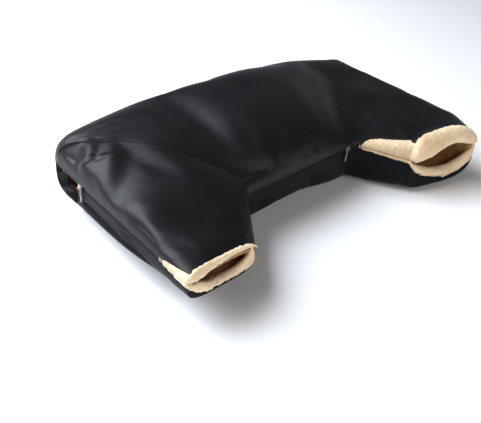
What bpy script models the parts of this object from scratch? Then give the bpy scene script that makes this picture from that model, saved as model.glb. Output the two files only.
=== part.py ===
"""Stroller hand muff: a fleece-lined, padded wrap round a stroller's handlebar that keeps both hands warm.

Two padded halves lie on each other, an upper and a lower one. The far edge is the fold, where the upper half
turns back, and three zips close the rest: one down each side and one along the front, round the U between the
sleeves. Each half is a woven shell, a wadding and a fleece lining. The right sleeve's inner edge and the last
stretch of both side edges are open slits, faced with fleece.

Metres, +Z up, +X along the handlebar to the muff's right end, -Y towards the person who pushes. The origin
lies on the parting line of the two halves, over the middle of the bar.
"""

import math

import bmesh
import bpy
import numpy as np
from mathutils import Matrix

# Outline of the muff, seen from above
HALF_WIDTH = 0.284
MOUTH_Y = -0.258
FOLD_Y = 0.036
FOLD_BOW = 0.010
CORNER_RADIUS = 0.024
CROTCH_Y = -0.170
CROTCH_DROP = 0.006
CROTCH_RADIUS = 0.022
LEFT_MOUTH_DROP = 0.022
RIGHT_MOUTH_DROP = 0.018
LEFT_CROTCH_X_SHARE = 0.422
RIGHT_CROTCH_X_SHARE = 0.356
LEFT_MOUTH_X_SHARE = 0.592
RIGHT_MOUTH_X_SHARE = 0.553
LEFT_MOUTH_Y_SHARE = 0.938
RIGHT_MOUTH_Y_SHARE = 0.922

# Swell of each half above and below the parting line, from the left mouth round to the right one
UPPER_HEIGHT = 0.063
LOWER_HEIGHT = 0.074
STATION_SHARES = (0, 0.12, 0.26, 0.38, 0.5, 0.62, 0.74, 0.88, 1)
UPPER_HEIGHT_SHARES = (0.29, 0.57, 0.79, 0.97, 1, 0.83, 0.36, 0.40, 0.45)
LOWER_HEIGHT_SHARES = (0.36, 0.65, 0.81, 0.71, 0.73, 0.86, 1, 0.92, 0.76)
UPPER_CREST_SHARES = (0.50, 0.50, 0.66, 0.62, 0.60, 0.58, 0.60, 0.50, 0.50)
LOWER_CREST_SHARES = (0.50, 0.50, 0.50, 0.50, 0.50, 0.50, 0.50, 0.50, 0.50)
UPPER_INNER_FULLNESS = 0.80
UPPER_OUTER_FULLNESS = 0.70
LOWER_INNER_FULLNESS = 0.38
LOWER_OUTER_FULLNESS = 0.45

# Layers, from the outside in
SHELL_THICKNESS = 0.0012
TAPE_THICKNESS = 0.0006
WADDING_THICKNESS = 0.0055
LINING_THICKNESS = 0.0040
LAYER_GAP = 0.0003
PARTING_GAP = 0.0010

# Openings for the handlebar
BAR_HOLE_HALF_WIDTH = 0.030
BAR_HOLE_Y = -0.003
BAR_RISE = 0.0045
BAR_DROP = 0.040
BAR_HOLE_SQUARENESS = 4
BINDING_THICKNESS = 0.0012

# Slits and fleece cuffs
SIDE_SLIT_LENGTH = 0.046
LEFT_SIDE_FACING = 0.0090
RIGHT_SIDE_FACING = 0.0070
INNER_SLIT_FACING = 0.0200
LOWER_FACING = 0.0045
FACING_PROUD = 0.0016
LEFT_CUFF_REACH = 0.009
RIGHT_CUFF_REACH = 0.020
LOWER_CUFF_REACH_SHARE = 0.85
CUFF_ARC_POINTS = 5

# Zips
ZIP_END_GAP = 0.0015
COIL_WIDTH = 0.0015
COIL_THICKNESS = 0.0011
TAPE_WIDTH = 0.011
ZIP_SLOT = 0.0026
WADDING_RELIEF = 0.0050
BOX_LENGTH = 0.006
STOP_LENGTH = 0.0025
SLIDER_LENGTH = 0.0090
SLIDER_HEIGHT = 0.0066
SLIDER_PLATE = 0.0012
SLIDER_POST_LENGTH = 0.0030
SLIDER_POST_THICKNESS = 0.0008
BRIDGE_WIRE = 0.0011
BRIDGE_SPAN = 0.0042
PULLER_EYE_RADIUS = 0.0026
PULLER_HOLE_RADIUS = 0.0012
PULLER_THICKNESS = 0.0010
PULLER_LENGTH = 0.021
PULLER_WIDTH = 0.0044
PULLER_SHOULDER_SHARE = 0.45
PULLER_TIP_SHARE = 0.95
PULLER_TIP_WIDTH_SHARE = 0.6
RUNNING_GAP = 0.0003

# Fineness of the meshes
SLIT_STEPS = 2
ZIP_STEPS = 4
HOLE_EDGE_SHARE = 0.999
FOLD_STEPS = 10
SLOT_ANGLE = math.radians(18)
TAPE_ANGLE = math.radians(26)
CROWN_ANGLES = (math.radians(33), math.radians(60))
LEAST_STEP_SHARE = 0.005
FACING_ROWS = 4
HOLE_STEP_SHARES = (-1, -0.9, -0.62, 0, 0.62, 0.9, 1)
ARC_POINTS = 12

SHELL_INNER = SHELL_THICKNESS
TAPE_OUTER = SHELL_INNER + LAYER_GAP
TAPE_INNER = TAPE_OUTER + TAPE_THICKNESS
WADDING_OUTER = TAPE_INNER + LAYER_GAP
WADDING_INNER = WADDING_OUTER + WADDING_THICKNESS
LINING_OUTER = WADDING_INNER + LAYER_GAP
LINING_INNER = LINING_OUTER + LINING_THICKNESS
HALF_POST_GAP = SLIDER_POST_THICKNESS / 2 + RUNNING_GAP
SLOT_ROW = WADDING_RELIEF + LAYER_GAP
TAPE_TOP = HALF_POST_GAP + TAPE_WIDTH

UPPER = {
    "name": "upper",
    "sign": 1,
    "height": UPPER_HEIGHT,
    "heights": UPPER_HEIGHT_SHARES,
    "crests": UPPER_CREST_SHARES,
    "inner_fullness": UPPER_INNER_FULLNESS,
    "outer_fullness": UPPER_OUTER_FULLNESS,
    "bar": BAR_RISE,
}
LOWER = {
    "name": "lower",
    "sign": -1,
    "height": LOWER_HEIGHT,
    "heights": LOWER_HEIGHT_SHARES,
    "crests": LOWER_CREST_SHARES,
    "inner_fullness": LOWER_INNER_FULLNESS,
    "outer_fullness": LOWER_OUTER_FULLNESS,
    "bar": BAR_DROP,
}


def clear_scene():
    for obj in list(bpy.data.objects):
        bpy.data.objects.remove(obj, do_unlink=True)


def new_collection(name):
    collection = bpy.data.collections.new(name)
    bpy.context.scene.collection.children.link(collection)
    return collection


def new_material(name, colour, roughness, metallic=0.0):
    material = bpy.data.materials.new(name)
    material.use_nodes = True
    shader = material.node_tree.nodes["Principled BSDF"]
    shader.inputs["Base Color"].default_value = (*colour, 1)
    shader.inputs["Roughness"].default_value = roughness
    shader.inputs["Metallic"].default_value = metallic
    return material


def rounded_path(points, radius):
    """The open polyline through the points, with each inner corner a curve that starts where an arc would."""
    corners = [np.array(point, float) for point in points]
    path = [corners[0]]
    for before, corner, after in zip(corners[:-2], corners[1:-1], corners[2:]):
        back = (before - corner) / np.linalg.norm(before - corner)
        ahead = (after - corner) / np.linalg.norm(after - corner)
        reach = radius / math.tan(math.acos(np.clip(back @ ahead, -1, 1)) / 2)
        t = np.linspace(0, 1, ARC_POINTS)[:, None]
        start, end = corner + back * reach, corner + ahead * reach
        path += list((1 - t) ** 2 * start + 2 * t * (1 - t) * corner + t * t * end)
    path.append(corners[-1])
    return np.array(path)


def lengths_along(path):
    return np.concatenate([[0], np.cumsum(np.linalg.norm(np.diff(path, axis=0), axis=1))])


def at_share(path, share):
    lengths = lengths_along(path)
    return np.stack([np.interp(share * lengths[-1], lengths, axis) for axis in path.T], axis=-1)


OUTER_PATH = rounded_path(
    [(-HALF_WIDTH, MOUTH_Y, 0), (-HALF_WIDTH, FOLD_Y, 0), (HALF_WIDTH, FOLD_Y, 0), (HALF_WIDTH, MOUTH_Y, 0)],
    CORNER_RADIUS,
)
INNER_PATH = rounded_path(
    [
        (-HALF_WIDTH * LEFT_MOUTH_X_SHARE, MOUTH_Y * LEFT_MOUTH_Y_SHARE, -LEFT_MOUTH_DROP),
        (-HALF_WIDTH * LEFT_CROTCH_X_SHARE, CROTCH_Y, -CROTCH_DROP),
        (HALF_WIDTH * RIGHT_CROTCH_X_SHARE, CROTCH_Y, -CROTCH_DROP),
        (HALF_WIDTH * RIGHT_MOUTH_X_SHARE, MOUTH_Y * RIGHT_MOUTH_Y_SHARE, -RIGHT_MOUTH_DROP),
    ],
    CROTCH_RADIUS,
)
OUTER_LENGTH = lengths_along(OUTER_PATH)[-1]
INNER_LENGTH = lengths_along(INNER_PATH)[-1]

# Places along the outline, as shares of the outer path's length counted from the left mouth
SLIT_END = SIDE_SLIT_LENGTH / OUTER_LENGTH
HOLE_CENTRE = (BAR_HOLE_Y - MOUTH_Y) / OUTER_LENGTH
HOLE_HALF = BAR_HOLE_HALF_WIDTH / OUTER_LENGTH
INNER_SLIT_START = lengths_along(INNER_PATH)[2 * ARC_POINTS] / INNER_LENGTH
FRONT_ZIP_END = INNER_SLIT_START - ZIP_END_GAP / INNER_LENGTH
SIDE_ZIP_LOW = SLIT_END + ZIP_END_GAP / OUTER_LENGTH
SIDE_ZIP_TOP = HOLE_CENTRE - HOLE_HALF - ZIP_END_GAP / OUTER_LENGTH


def eased(shares, s):
    """A cubic through the station values, whose slope at each station is the mean of the slopes beside it."""
    values, stations = np.array(shares), np.array(STATION_SHARES)
    i = np.clip(np.searchsorted(stations, s, side="right") - 1, 0, len(stations) - 2)
    slope = np.gradient(values, stations)
    width = stations[i + 1] - stations[i]
    t = (s - stations[i]) / width
    return (
        (1 + 2 * t) * (1 - t) ** 2 * values[i]
        + t * (1 - t) ** 2 * width * slope[i]
        + t * t * (3 - 2 * t) * values[i + 1]
        + t * t * (t - 1) * width * slope[i + 1]
    )


def seams(s):
    """The inner and the outer seam at share s. The fold bows away from the sleeves in its middle."""
    outer = at_share(OUTER_PATH, s)
    near_fold = np.clip(outer[..., 1] / FOLD_Y, 0, 1)
    bow = np.clip(1 - (outer[..., 0] / HALF_WIDTH) ** 2, 0, 1) * near_fold**2 * (3 - 2 * near_fold)
    outer[..., 1] += FOLD_BOW * bow
    return at_share(INNER_PATH, s), outer


def frame_at(half, s, inset):
    """One half's cross-section at share s: both rims, the way across, both reaches and the height."""
    inner, outer = seams(s)
    chord = outer - inner
    span = np.linalg.norm(chord, axis=-1)
    across = chord / span[..., None]
    crest = eased(half["crests"], s)
    return {
        "inner": inner + across * inset,
        "outer": outer - across * inset,
        "across": across,
        "inner_reach": crest * span - inset,
        "outer_reach": (1 - crest) * span - inset,
        "height": half["height"] * eased(half["heights"], s) - inset,
    }


def angle_at(height, top, fullness):
    return np.arcsin(np.clip(height / top, 0, 1) ** (1 / fullness))


def rim_point(half, edge, s, height, inset):
    """The point of a half's wall at a height above the parting line, at its inner or outer edge."""
    s = np.asarray(s, float)
    f = frame_at(half, s, inset)
    fullness = half[edge + "_fullness"]
    angle = angle_at(height, f["height"], fullness)
    run = f[edge + "_reach"] * (1 - np.cos(angle) ** fullness)
    way = f["across"] if edge == "inner" else -f["across"]
    point = f[edge] + way * run[..., None]
    point[..., 2] += half["sign"] * height
    return point


def edge_rows(half, edge, top, cut):
    """Angles from an edge's rim to the crest: the rim, the slot, the tape's top, then the crown's steps."""
    crest, fullness = math.pi / 2, half[edge + "_fullness"]
    slot = np.minimum(angle_at(SLOT_ROW, top, fullness), SLOT_ANGLE)
    tape = np.minimum(angle_at(TAPE_TOP, top, fullness), TAPE_ANGLE)
    rows = [angle_at(cut, top, fullness)]
    for wanted in (slot, tape, *CROWN_ANGLES):
        rows.append(np.maximum(wanted, rows[-1] + (crest - rows[-1]) * LEAST_STEP_SHARE))
    return np.stack(rows + [np.full_like(top, crest)], axis=1)


def wall_grid(half, edge, s, inset, cut):
    """One half's surface from an edge to the crest: a superellipse quarter over each station's way across.

    The cut is the height above the parting line at which the surface stops at its rim."""
    f = frame_at(half, s, inset)
    fullness = half[edge + "_fullness"]
    angle = edge_rows(half, edge, f["height"], cut)
    run = f[edge + "_reach"][:, None] * (1 - np.maximum(np.cos(angle), 0) ** fullness)
    way = f["across"] if edge == "inner" else -f["across"]
    grid = f[edge][:, None] + way[:, None] * run[..., None]
    grid[..., 2] += half["sign"] * f["height"][:, None] * np.sin(angle) ** fullness
    return grid


def half_grid(half, s, inset, cuts):
    """Both walls of one half, which meet at the crest."""
    inner = wall_grid(half, "inner", s, inset, cuts[0])
    outer = wall_grid(half, "outer", s, inset, cuts[1])
    return np.concatenate([inner, outer[:, -2::-1]], axis=1)


def stations_along():
    """The shares at which the layers have a cross-section: close together round each handlebar hole."""
    hole = HOLE_CENTRE + HOLE_HALF * np.array(HOLE_STEP_SHARES)
    slit = np.linspace(0, SLIT_END, SLIT_STEPS, endpoint=False)
    side = np.concatenate([slit, np.linspace(SLIT_END, hole[0], ZIP_STEPS, endpoint=False)])
    fold = np.linspace(hole[-1], 1 - hole[-1], FOLD_STEPS + 1)[1:-1]
    return np.sort(np.concatenate([side, hole, fold, 1 - hole, 1 - side, [FRONT_ZIP_END, INNER_SLIT_START]]))


def stations_between(start, end):
    """The layers' stations between two shares, with both ends, from the left mouth towards the right one."""
    low, high = min(start, end), max(start, end)
    s = stations_along()
    return np.concatenate([[low], s[(s > low) & (s < high)], [high]])


def hole_rise(half, s):
    """How far a handlebar hole's rim stands off the parting line, a superellipse along the side."""
    from_centre = np.minimum(np.abs(s - HOLE_CENTRE), np.abs(1 - s - HOLE_CENTRE)) / HOLE_HALF
    inside = np.clip(1 - from_centre**BAR_HOLE_SQUARENESS, 0, 1)
    return half["bar"] * inside ** (1 / BAR_HOLE_SQUARENESS)


def facing_height(half, edge, s):
    """How much of the wall an open slit's fleece facing takes, growing from the slit's end to the mouth."""
    if edge == "inner":
        grown = np.clip((s - INNER_SLIT_START) / (1 - INNER_SLIT_START), 0, 1)
        most = INNER_SLIT_FACING if half["sign"] > 0 else LOWER_FACING
        return ZIP_SLOT + (most - ZIP_SLOT) * np.sqrt(grown)
    grown = np.clip(1 - np.minimum(s, 1 - s) / SLIT_END, 0, 1)
    upper_most = np.where(s < 0.5, LEFT_SIDE_FACING, RIGHT_SIDE_FACING)
    most = upper_most if half["sign"] > 0 else LOWER_FACING
    return ZIP_SLOT + (most - ZIP_SLOT) * np.sqrt(grown)


def on_fold(s):
    return np.minimum(s, 1 - s) > HOLE_CENTRE + HOLE_HALF * HOLE_EDGE_SHARE


def shell_cuts(half, s):
    outer = np.maximum(facing_height(half, "outer", s), hole_rise(half, s))
    return facing_height(half, "inner", s), np.where(on_fold(s), PARTING_GAP / 2, outer)


def wadding_cuts(half, s):
    outer = np.maximum(WADDING_RELIEF, hole_rise(half, s))
    inner = np.full_like(s, WADDING_RELIEF)
    return inner, np.where(on_fold(s), PARTING_GAP / 2, outer)


def lining_cuts(half, s):
    inner = np.full_like(s, PARTING_GAP / 2)
    return inner, np.where(on_fold(s), PARTING_GAP / 2, np.maximum(PARTING_GAP / 2, hole_rise(half, s)))


def new_object(name, mesh, material, collection):
    obj = bpy.data.objects.new(name, mesh)
    obj.data.materials.append(material)
    collection.objects.link(obj)
    return obj


def closed_mesh(name, points, faces):
    """A mesh from points and faces whose normals are turned outwards."""
    mesh = bpy.data.meshes.new(name)
    mesh.from_pydata([tuple(point) for point in points], [], faces)
    built = bmesh.new()
    built.from_mesh(mesh)
    bmesh.ops.recalc_face_normals(built, faces=built.faces)
    built.to_mesh(mesh)
    built.free()
    mesh.shade_smooth()
    mesh.set_sharp_from_angle(angle=math.radians(50))
    return mesh


def split_quad(a, b, c, d, first):
    """Two triangles of a quad, cut from a to c or from b to d. All layers are cut alike, so they nest."""
    return [(a, b, c), (a, c, d)] if first else [(a, b, d), (b, c, d)]


def grid_faces(rows, columns, start, flip):
    faces = []
    for i in range(rows - 1):
        for j in range(columns - 1):
            a = start + i * columns + j
            for face in split_quad(a, a + 1, a + columns + 1, a + columns, j < columns // 2):
                faces.append(face[::-1] if flip else face)
    return faces


def add_layer(name, half, outside, inside, cuts, material, collection):
    """One layer of a half: its outer and inner surface, joined round the rim."""
    s = stations_along()
    top = half_grid(half, s, outside, cuts(half, s))
    under = half_grid(half, s, inside, cuts(half, s))
    rows, columns = top.shape[:2]
    count = rows * columns
    faces = grid_faces(rows, columns, 0, False) + grid_faces(rows, columns, count, True)
    rim = list(range(columns))
    rim += [i * columns + columns - 1 for i in range(1, rows)]
    rim += [(rows - 1) * columns + j for j in range(columns - 2, -1, -1)]
    rim += [i * columns for i in range(rows - 2, 0, -1)]
    for a, b in zip(rim, rim[1:] + rim[:1]):
        faces.append((a, b, count + b, count + a))
    points = np.concatenate([top.reshape(-1, 3), under.reshape(-1, 3)])
    return new_object(name, closed_mesh(name, points, faces), material, collection)


def loft(name, sections, material, collection):
    """A closed body through a row of rings of equal count, with a flat cap on each end."""
    rings, count = sections.shape[:2]
    faces = [tuple(range(count)), tuple(range((rings - 1) * count, rings * count))]
    for i in range(rings - 1):
        for j in range(count):
            a, b = i * count + j, i * count + (j + 1) % count
            faces += split_quad(a, b, b + count, a + count, j < count // 2)
    return new_object(name, closed_mesh(name, sections.reshape(-1, 3), faces), material, collection)


def rim_strip(name, half, edge, s, heights, insets, material, collection):
    """A strip that follows a half's wall through a row of heights, between two insets."""
    corners = [(height, insets[0]) for height in heights] + [(height, insets[1]) for height in heights[::-1]]
    sections = np.stack([rim_point(half, edge, s, height, inset) for height, inset in corners], axis=1)
    return loft(name, sections, material, collection)


def mouth_ring(half, side, inset):
    """The mouth's edge of one half at an inset, from its inner to its outer corner, and its way forward."""
    s0, s1 = (0.0, SLIT_END / SLIT_STEPS) if side == "left" else (1.0, 1 - SLIT_END / SLIT_STEPS)
    s = np.array([s0, s1])
    grid = half_grid(half, s, inset, lining_cuts(half, s))
    forward = grid[0] - grid[1]
    return grid[0], forward / np.linalg.norm(forward, axis=-1)[:, None]


def lip_sections(outside, inside, forward, reach):
    """Rings whose back is flat between two edges and whose front swells forward as half an ellipse."""
    angles = np.linspace(0, math.pi, CUFF_ARC_POINTS + 2)
    middle, half_width = (outside + inside) / 2, (outside - inside) / 2
    ring = [middle + half_width * math.cos(a) + forward * (reach * math.sin(a))[:, None] for a in angles]
    return np.stack(ring, axis=1)


def slit_sections(half, edge, s):
    """Rings of a slit's facing, which swells from the wall between parting line and shell's edge."""
    top = facing_height(half, edge, s) - LAYER_GAP
    bottom = PARTING_GAP / 2
    shares = np.linspace(0, 1, FACING_ROWS + 1)
    heights = [bottom + (top - bottom) * share for share in shares]
    under = [rim_point(half, edge, s, height, TAPE_OUTER) for height in heights]
    over = [
        rim_point(half, edge, s, height, -FACING_PROUD * math.sin(math.pi * share))
        for height, share in zip(heights, shares)
    ]
    return np.stack(under + over[::-1], axis=1)


def add_cuff(side, half, material, collection):
    """The fleece that edges a sleeve: facings along its open slits, and a round lip over the mouth."""
    inner_edge = LINING_INNER + LAYER_GAP
    start, forward = mouth_ring(half, side, 0.0)
    end, _ = mouth_ring(half, side, inner_edge)
    reach = LEFT_CUFF_REACH if side == "left" else RIGHT_CUFF_REACH
    reach = reach * (1 if half["sign"] > 0 else LOWER_CUFF_REACH_SHARE)
    shift = forward * LAYER_GAP
    lip = lip_sections(start + shift, end + shift, forward, np.full(len(start), reach))
    return loft(f"{side}_cuff_{half['name']}", lip, material, collection)


def add_facing(name, half, edge, s, material, collection):
    return loft(name, slit_sections(half, edge, s), material, collection)


def add_bindings(side, half, material, collection):
    """The bound edge of a handlebar hole: a flat tape folded over the rims of all three layers."""
    s = HOLE_CENTRE + HOLE_HALF * np.array(HOLE_STEP_SHARES)[1:-1]
    s = s if side == "left" else 1 - s[::-1]
    far = hole_rise(half, s) - LAYER_GAP
    insets = (-LAYER_GAP, LINING_INNER)
    name = f"{side}_bar_binding_{half['name']}"
    return rim_strip(name, half, "outer", s, (far - BINDING_THICKNESS, far), insets, material, collection)


def add_zip_half(label, half, edge, s_start, s_end, materials, collection):
    """One half of a zip: tape and coil, a stop at its closed end and the pin or box at its open end."""
    s = stations_between(s_start, s_end)
    length = OUTER_LENGTH if edge == "outer" else INNER_LENGTH
    way = math.copysign(1, s_end - s_start)
    box_end = s_start + way * BOX_LENGTH / length
    coil_start = box_end + way * RUNNING_GAP / length
    stop_start = s_end - way * STOP_LENGTH / length
    coil_end = stop_start - way * RUNNING_GAP / length
    name = half["name"]
    inner, outer = HALF_POST_GAP, HALF_POST_GAP + COIL_WIDTH
    cut = np.full_like(s, inner)
    faces = [wall_grid(half, edge, s, inset, cut)[:, :3] for inset in (TAPE_OUTER, TAPE_INNER)]
    tape = np.concatenate([faces[0], faces[1][:, ::-1]], axis=1)
    loft(f"{label}_zip_tape_{name}", tape, materials["tape"], collection)
    coil_insets = (TAPE_OUTER - LAYER_GAP - COIL_THICKNESS, TAPE_OUTER - LAYER_GAP)
    rim_strip(f"{label}_zip_coil_{name}", half, edge, stations_between(coil_start, coil_end), (inner, outer),
              coil_insets, materials["coil"], collection)
    rim_strip(f"{label}_zip_stop_{name}", half, edge, np.sort([stop_start, s_end]), (inner, outer),
              coil_insets, materials["metal"], collection)
    ending = "pin" if half["sign"] > 0 else "box"
    rim_strip(f"{label}_zip_{ending}", half, edge, np.sort([s_start, box_end]), (inner, outer),
              coil_insets, materials["metal"], collection)


def box_between(name, low, high, collection):
    """A box with these corners, as an object of its own."""
    low, high = np.array(low), np.array(high)
    built = bmesh.new()
    bmesh.ops.create_cube(built, size=1)
    for vertex in built.verts:
        vertex.co = (low + high) / 2 + np.array(vertex.co) * (high - low)
    mesh = bpy.data.meshes.new(name)
    built.to_mesh(mesh)
    built.free()
    obj = bpy.data.objects.new(name, mesh)
    collection.objects.link(obj)
    return obj


def united(name, pieces):
    """One mesh from several overlapping objects, which are removed."""
    base = pieces[0]
    for piece in pieces[1:]:
        union = base.modifiers.new(piece.name, "BOOLEAN")
        union.operation = "UNION"
        union.object = piece
    bpy.context.view_layer.update()
    graph = bpy.context.evaluated_depsgraph_get()
    mesh = bpy.data.meshes.new_from_object(base.evaluated_get(graph))
    mesh.name = name
    for piece in pieces:
        bpy.data.objects.remove(piece, do_unlink=True)
    return mesh


def slider_mesh(helpers):
    """A slider in its own frame: X along its travel, Y out of the muff, Z up, its middle on the coil."""
    half_length, half_height = SLIDER_LENGTH / 2, SLIDER_HEIGHT / 2
    front = RUNNING_GAP
    back = -(WADDING_OUTER + RUNNING_GAP)
    face = front + SLIDER_PLATE
    bridge_out = face + PULLER_THICKNESS + 2 * RUNNING_GAP
    wire, span = BRIDGE_WIRE / 2, BRIDGE_SPAN / 2
    post = SLIDER_POST_THICKNESS / 2
    plate_low, plate_high = (-half_length, front, -half_height), (half_length, face, half_height)
    back_low = (-half_length, back - SLIDER_PLATE, -half_height)
    pieces = [
        box_between("front_plate", plate_low, plate_high, helpers),
        box_between("back_plate", back_low, (half_length, back, half_height), helpers),
        box_between("post", (0, back - wire, -post), (SLIDER_POST_LENGTH, front + wire, post), helpers),
    ]
    arch_low, arch_high = (-span - wire, bridge_out, -wire), (span + wire, bridge_out + 2 * wire, wire)
    pieces.append(box_between("arch", arch_low, arch_high, helpers))
    for x in (-span, span):
        low, high = (x - wire, face - wire, -wire), (x + wire, bridge_out + wire, wire)
        pieces.append(box_between("leg", low, high, helpers))
    return united("slider", pieces)


def puller_mesh():
    """The pull tab in the slider's frame: a round eye about the bridge's leg, and a tapered tab below."""
    face = RUNNING_GAP + SLIDER_PLATE + RUNNING_GAP
    eye = np.linspace(math.radians(-60), math.radians(240), 13)
    half = PULLER_WIDTH / 2
    outline = [(PULLER_EYE_RADIUS * math.cos(a), PULLER_EYE_RADIUS * math.sin(a)) for a in eye]
    shoulder, tip = -PULLER_LENGTH * PULLER_SHOULDER_SHARE, -PULLER_LENGTH * PULLER_TIP_SHARE
    narrow = half * PULLER_TIP_WIDTH_SHARE
    outline += [(-half, shoulder), (-half, tip), (-narrow, -PULLER_LENGTH)]
    outline += [(narrow, -PULLER_LENGTH), (half, tip), (half, shoulder)]
    curve = bpy.data.curves.new("puller", "CURVE")
    curve.dimensions = "2D"
    curve.fill_mode = "BOTH"
    curve.extrude = PULLER_THICKNESS / 2
    turn = np.linspace(0, 2 * math.pi, len(eye))[:-1]
    hole = [(PULLER_HOLE_RADIUS * math.cos(a), PULLER_HOLE_RADIUS * math.sin(a)) for a in turn]
    for points in (outline, hole):
        spline = curve.splines.new("POLY")
        spline.points.add(len(points) - 1)
        for point, (x, z) in zip(spline.points, points):
            point.co = (x, z, 0, 1)
        spline.use_cyclic_u = True
    flat = bpy.data.objects.new("puller", curve)
    bpy.context.scene.collection.objects.link(flat)
    bpy.context.view_layer.update()
    mesh = bpy.data.meshes.new_from_object(flat.evaluated_get(bpy.context.evaluated_depsgraph_get()))
    bpy.data.objects.remove(flat, do_unlink=True)
    built = bmesh.new()
    built.from_mesh(mesh)
    bmesh.ops.remove_doubles(built, verts=built.verts, dist=PULLER_THICKNESS / 100)
    for vertex in built.verts:
        x, z, y = vertex.co
        vertex.co = (x, face + PULLER_THICKNESS / 2 + y, z)
    bmesh.ops.recalc_face_normals(built, faces=built.faces)
    built.to_mesh(mesh)
    built.free()
    return mesh


def add_slider(label, place, travel, outward, meshes, materials, collection):
    """A slider at a place on the zip, and its puller about the bridge's leg that leads when the zip opens."""
    up = np.cross(travel, outward)
    flip = 1 if up[2] > 0 else -1
    axes = np.stack([np.array(travel) * flip, np.array(outward), [0, 0, 1]], axis=1)
    kinds = (("slider", materials["metal"], 0), ("puller", materials["puller"], flip * BRIDGE_SPAN / 2))
    for kind, material, offset in kinds:
        obj = new_object(f"{label}_zip_{kind}", meshes[kind].copy(), material, collection)
        matrix = np.eye(4)
        matrix[:3, :3] = axes
        matrix[:3, 3] = np.array(place) + axes[:, 0] * offset
        obj.matrix_world = Matrix(matrix)


def main():
    clear_scene()
    muff = new_collection("stroller_hand_muff")
    helpers = new_collection("helpers")
    shell = new_material("shell_fabric", (0.018, 0.018, 0.020), 0.42)
    wadding = new_material("wadding", (0.80, 0.80, 0.78), 0.95)
    fleece = new_material("fleece", (0.76, 0.62, 0.44), 0.95)
    zips = {
        "tape": new_material("zip_tape", (0.020, 0.020, 0.022), 0.80),
        "coil": new_material("zip_coil", (0.030, 0.030, 0.032), 0.45),
        "metal": new_material("zip_metal", (0.62, 0.60, 0.58), 0.30, 1.0),
        "puller": new_material("zip_puller", (0.55, 0.55, 0.56), 0.40),
    }
    slits = {"left": stations_between(0, SLIT_END), "right": stations_between(1 - SLIT_END, 1)}
    inner_slit = stations_between(INNER_SLIT_START, 1)
    for half in (UPPER, LOWER):
        name = half["name"]
        add_layer(f"{name}_shell", half, 0.0, SHELL_INNER, shell_cuts, shell, muff)
        add_layer(f"{name}_wadding", half, WADDING_OUTER, WADDING_INNER, wadding_cuts, wadding, muff)
        add_layer(f"{name}_lining", half, LINING_OUTER, LINING_INNER, lining_cuts, fleece, muff)
        for side in ("left", "right"):
            add_cuff(side, half, fleece, muff)
            add_bindings(side, half, shell, muff)
            add_facing(f"{side}_side_facing_{name}", half, "outer", slits[side], fleece, muff)
        add_facing(f"inner_slit_facing_{name}", half, "inner", inner_slit, fleece, muff)
        add_zip_half("left", half, "outer", SIDE_ZIP_LOW, SIDE_ZIP_TOP, zips, muff)
        add_zip_half("right", half, "outer", 1 - SIDE_ZIP_LOW, 1 - SIDE_ZIP_TOP, zips, muff)
        add_zip_half("front", half, "inner", ZIP_END_GAP / INNER_LENGTH, FRONT_ZIP_END, zips, muff)
    meshes = {"slider": slider_mesh(helpers), "puller": puller_mesh()}
    park = STOP_LENGTH + RUNNING_GAP + SLIDER_LENGTH / 2
    side_y = MOUTH_Y + SIDE_ZIP_TOP * OUTER_LENGTH - park
    add_slider("left", (-HALF_WIDTH, side_y, 0), (0, -1, 0), (-1, 0, 0), meshes, zips, muff)
    add_slider("right", (HALF_WIDTH, side_y, 0), (0, -1, 0), (1, 0, 0), meshes, zips, muff)
    bend_start = INNER_PATH[ARC_POINTS + 1]
    front = (bend_start[0] - park, bend_start[1], bend_start[2])
    add_slider("front", front, (-1, 0, 0), (0, -1, 0), meshes, zips, muff)


main()
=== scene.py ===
"""Stroller hand muff, dressed: satin cloth over wadding, a fleece lining, three zips and their stitching.

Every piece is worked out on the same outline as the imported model. Metres, +Z up, +X along the handlebar,
-Y towards the person who pushes. A section holds one kind of piece, in the order in which the muff is sewn.
"""

import math

import bpy
import numpy as np
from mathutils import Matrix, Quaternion, Vector


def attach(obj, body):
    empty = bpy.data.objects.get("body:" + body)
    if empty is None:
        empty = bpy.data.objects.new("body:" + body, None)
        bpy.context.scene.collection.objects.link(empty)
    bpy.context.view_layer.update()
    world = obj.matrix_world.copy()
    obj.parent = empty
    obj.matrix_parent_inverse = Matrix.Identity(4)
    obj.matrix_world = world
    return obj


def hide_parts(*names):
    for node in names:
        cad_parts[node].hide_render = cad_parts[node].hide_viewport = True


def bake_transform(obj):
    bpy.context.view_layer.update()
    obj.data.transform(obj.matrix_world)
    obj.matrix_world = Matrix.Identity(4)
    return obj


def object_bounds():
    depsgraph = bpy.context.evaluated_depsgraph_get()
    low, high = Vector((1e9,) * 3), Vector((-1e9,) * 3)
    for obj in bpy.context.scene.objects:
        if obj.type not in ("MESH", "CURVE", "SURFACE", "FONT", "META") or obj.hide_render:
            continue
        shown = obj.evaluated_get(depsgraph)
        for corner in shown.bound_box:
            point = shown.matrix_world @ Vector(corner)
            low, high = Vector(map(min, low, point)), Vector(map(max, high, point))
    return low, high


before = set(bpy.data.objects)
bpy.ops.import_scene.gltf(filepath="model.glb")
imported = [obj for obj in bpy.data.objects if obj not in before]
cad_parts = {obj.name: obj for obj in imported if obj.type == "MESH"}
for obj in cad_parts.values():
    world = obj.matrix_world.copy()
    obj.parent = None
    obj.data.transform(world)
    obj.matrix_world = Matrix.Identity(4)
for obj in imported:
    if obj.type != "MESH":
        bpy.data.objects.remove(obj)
cad_low, cad_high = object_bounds()

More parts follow.
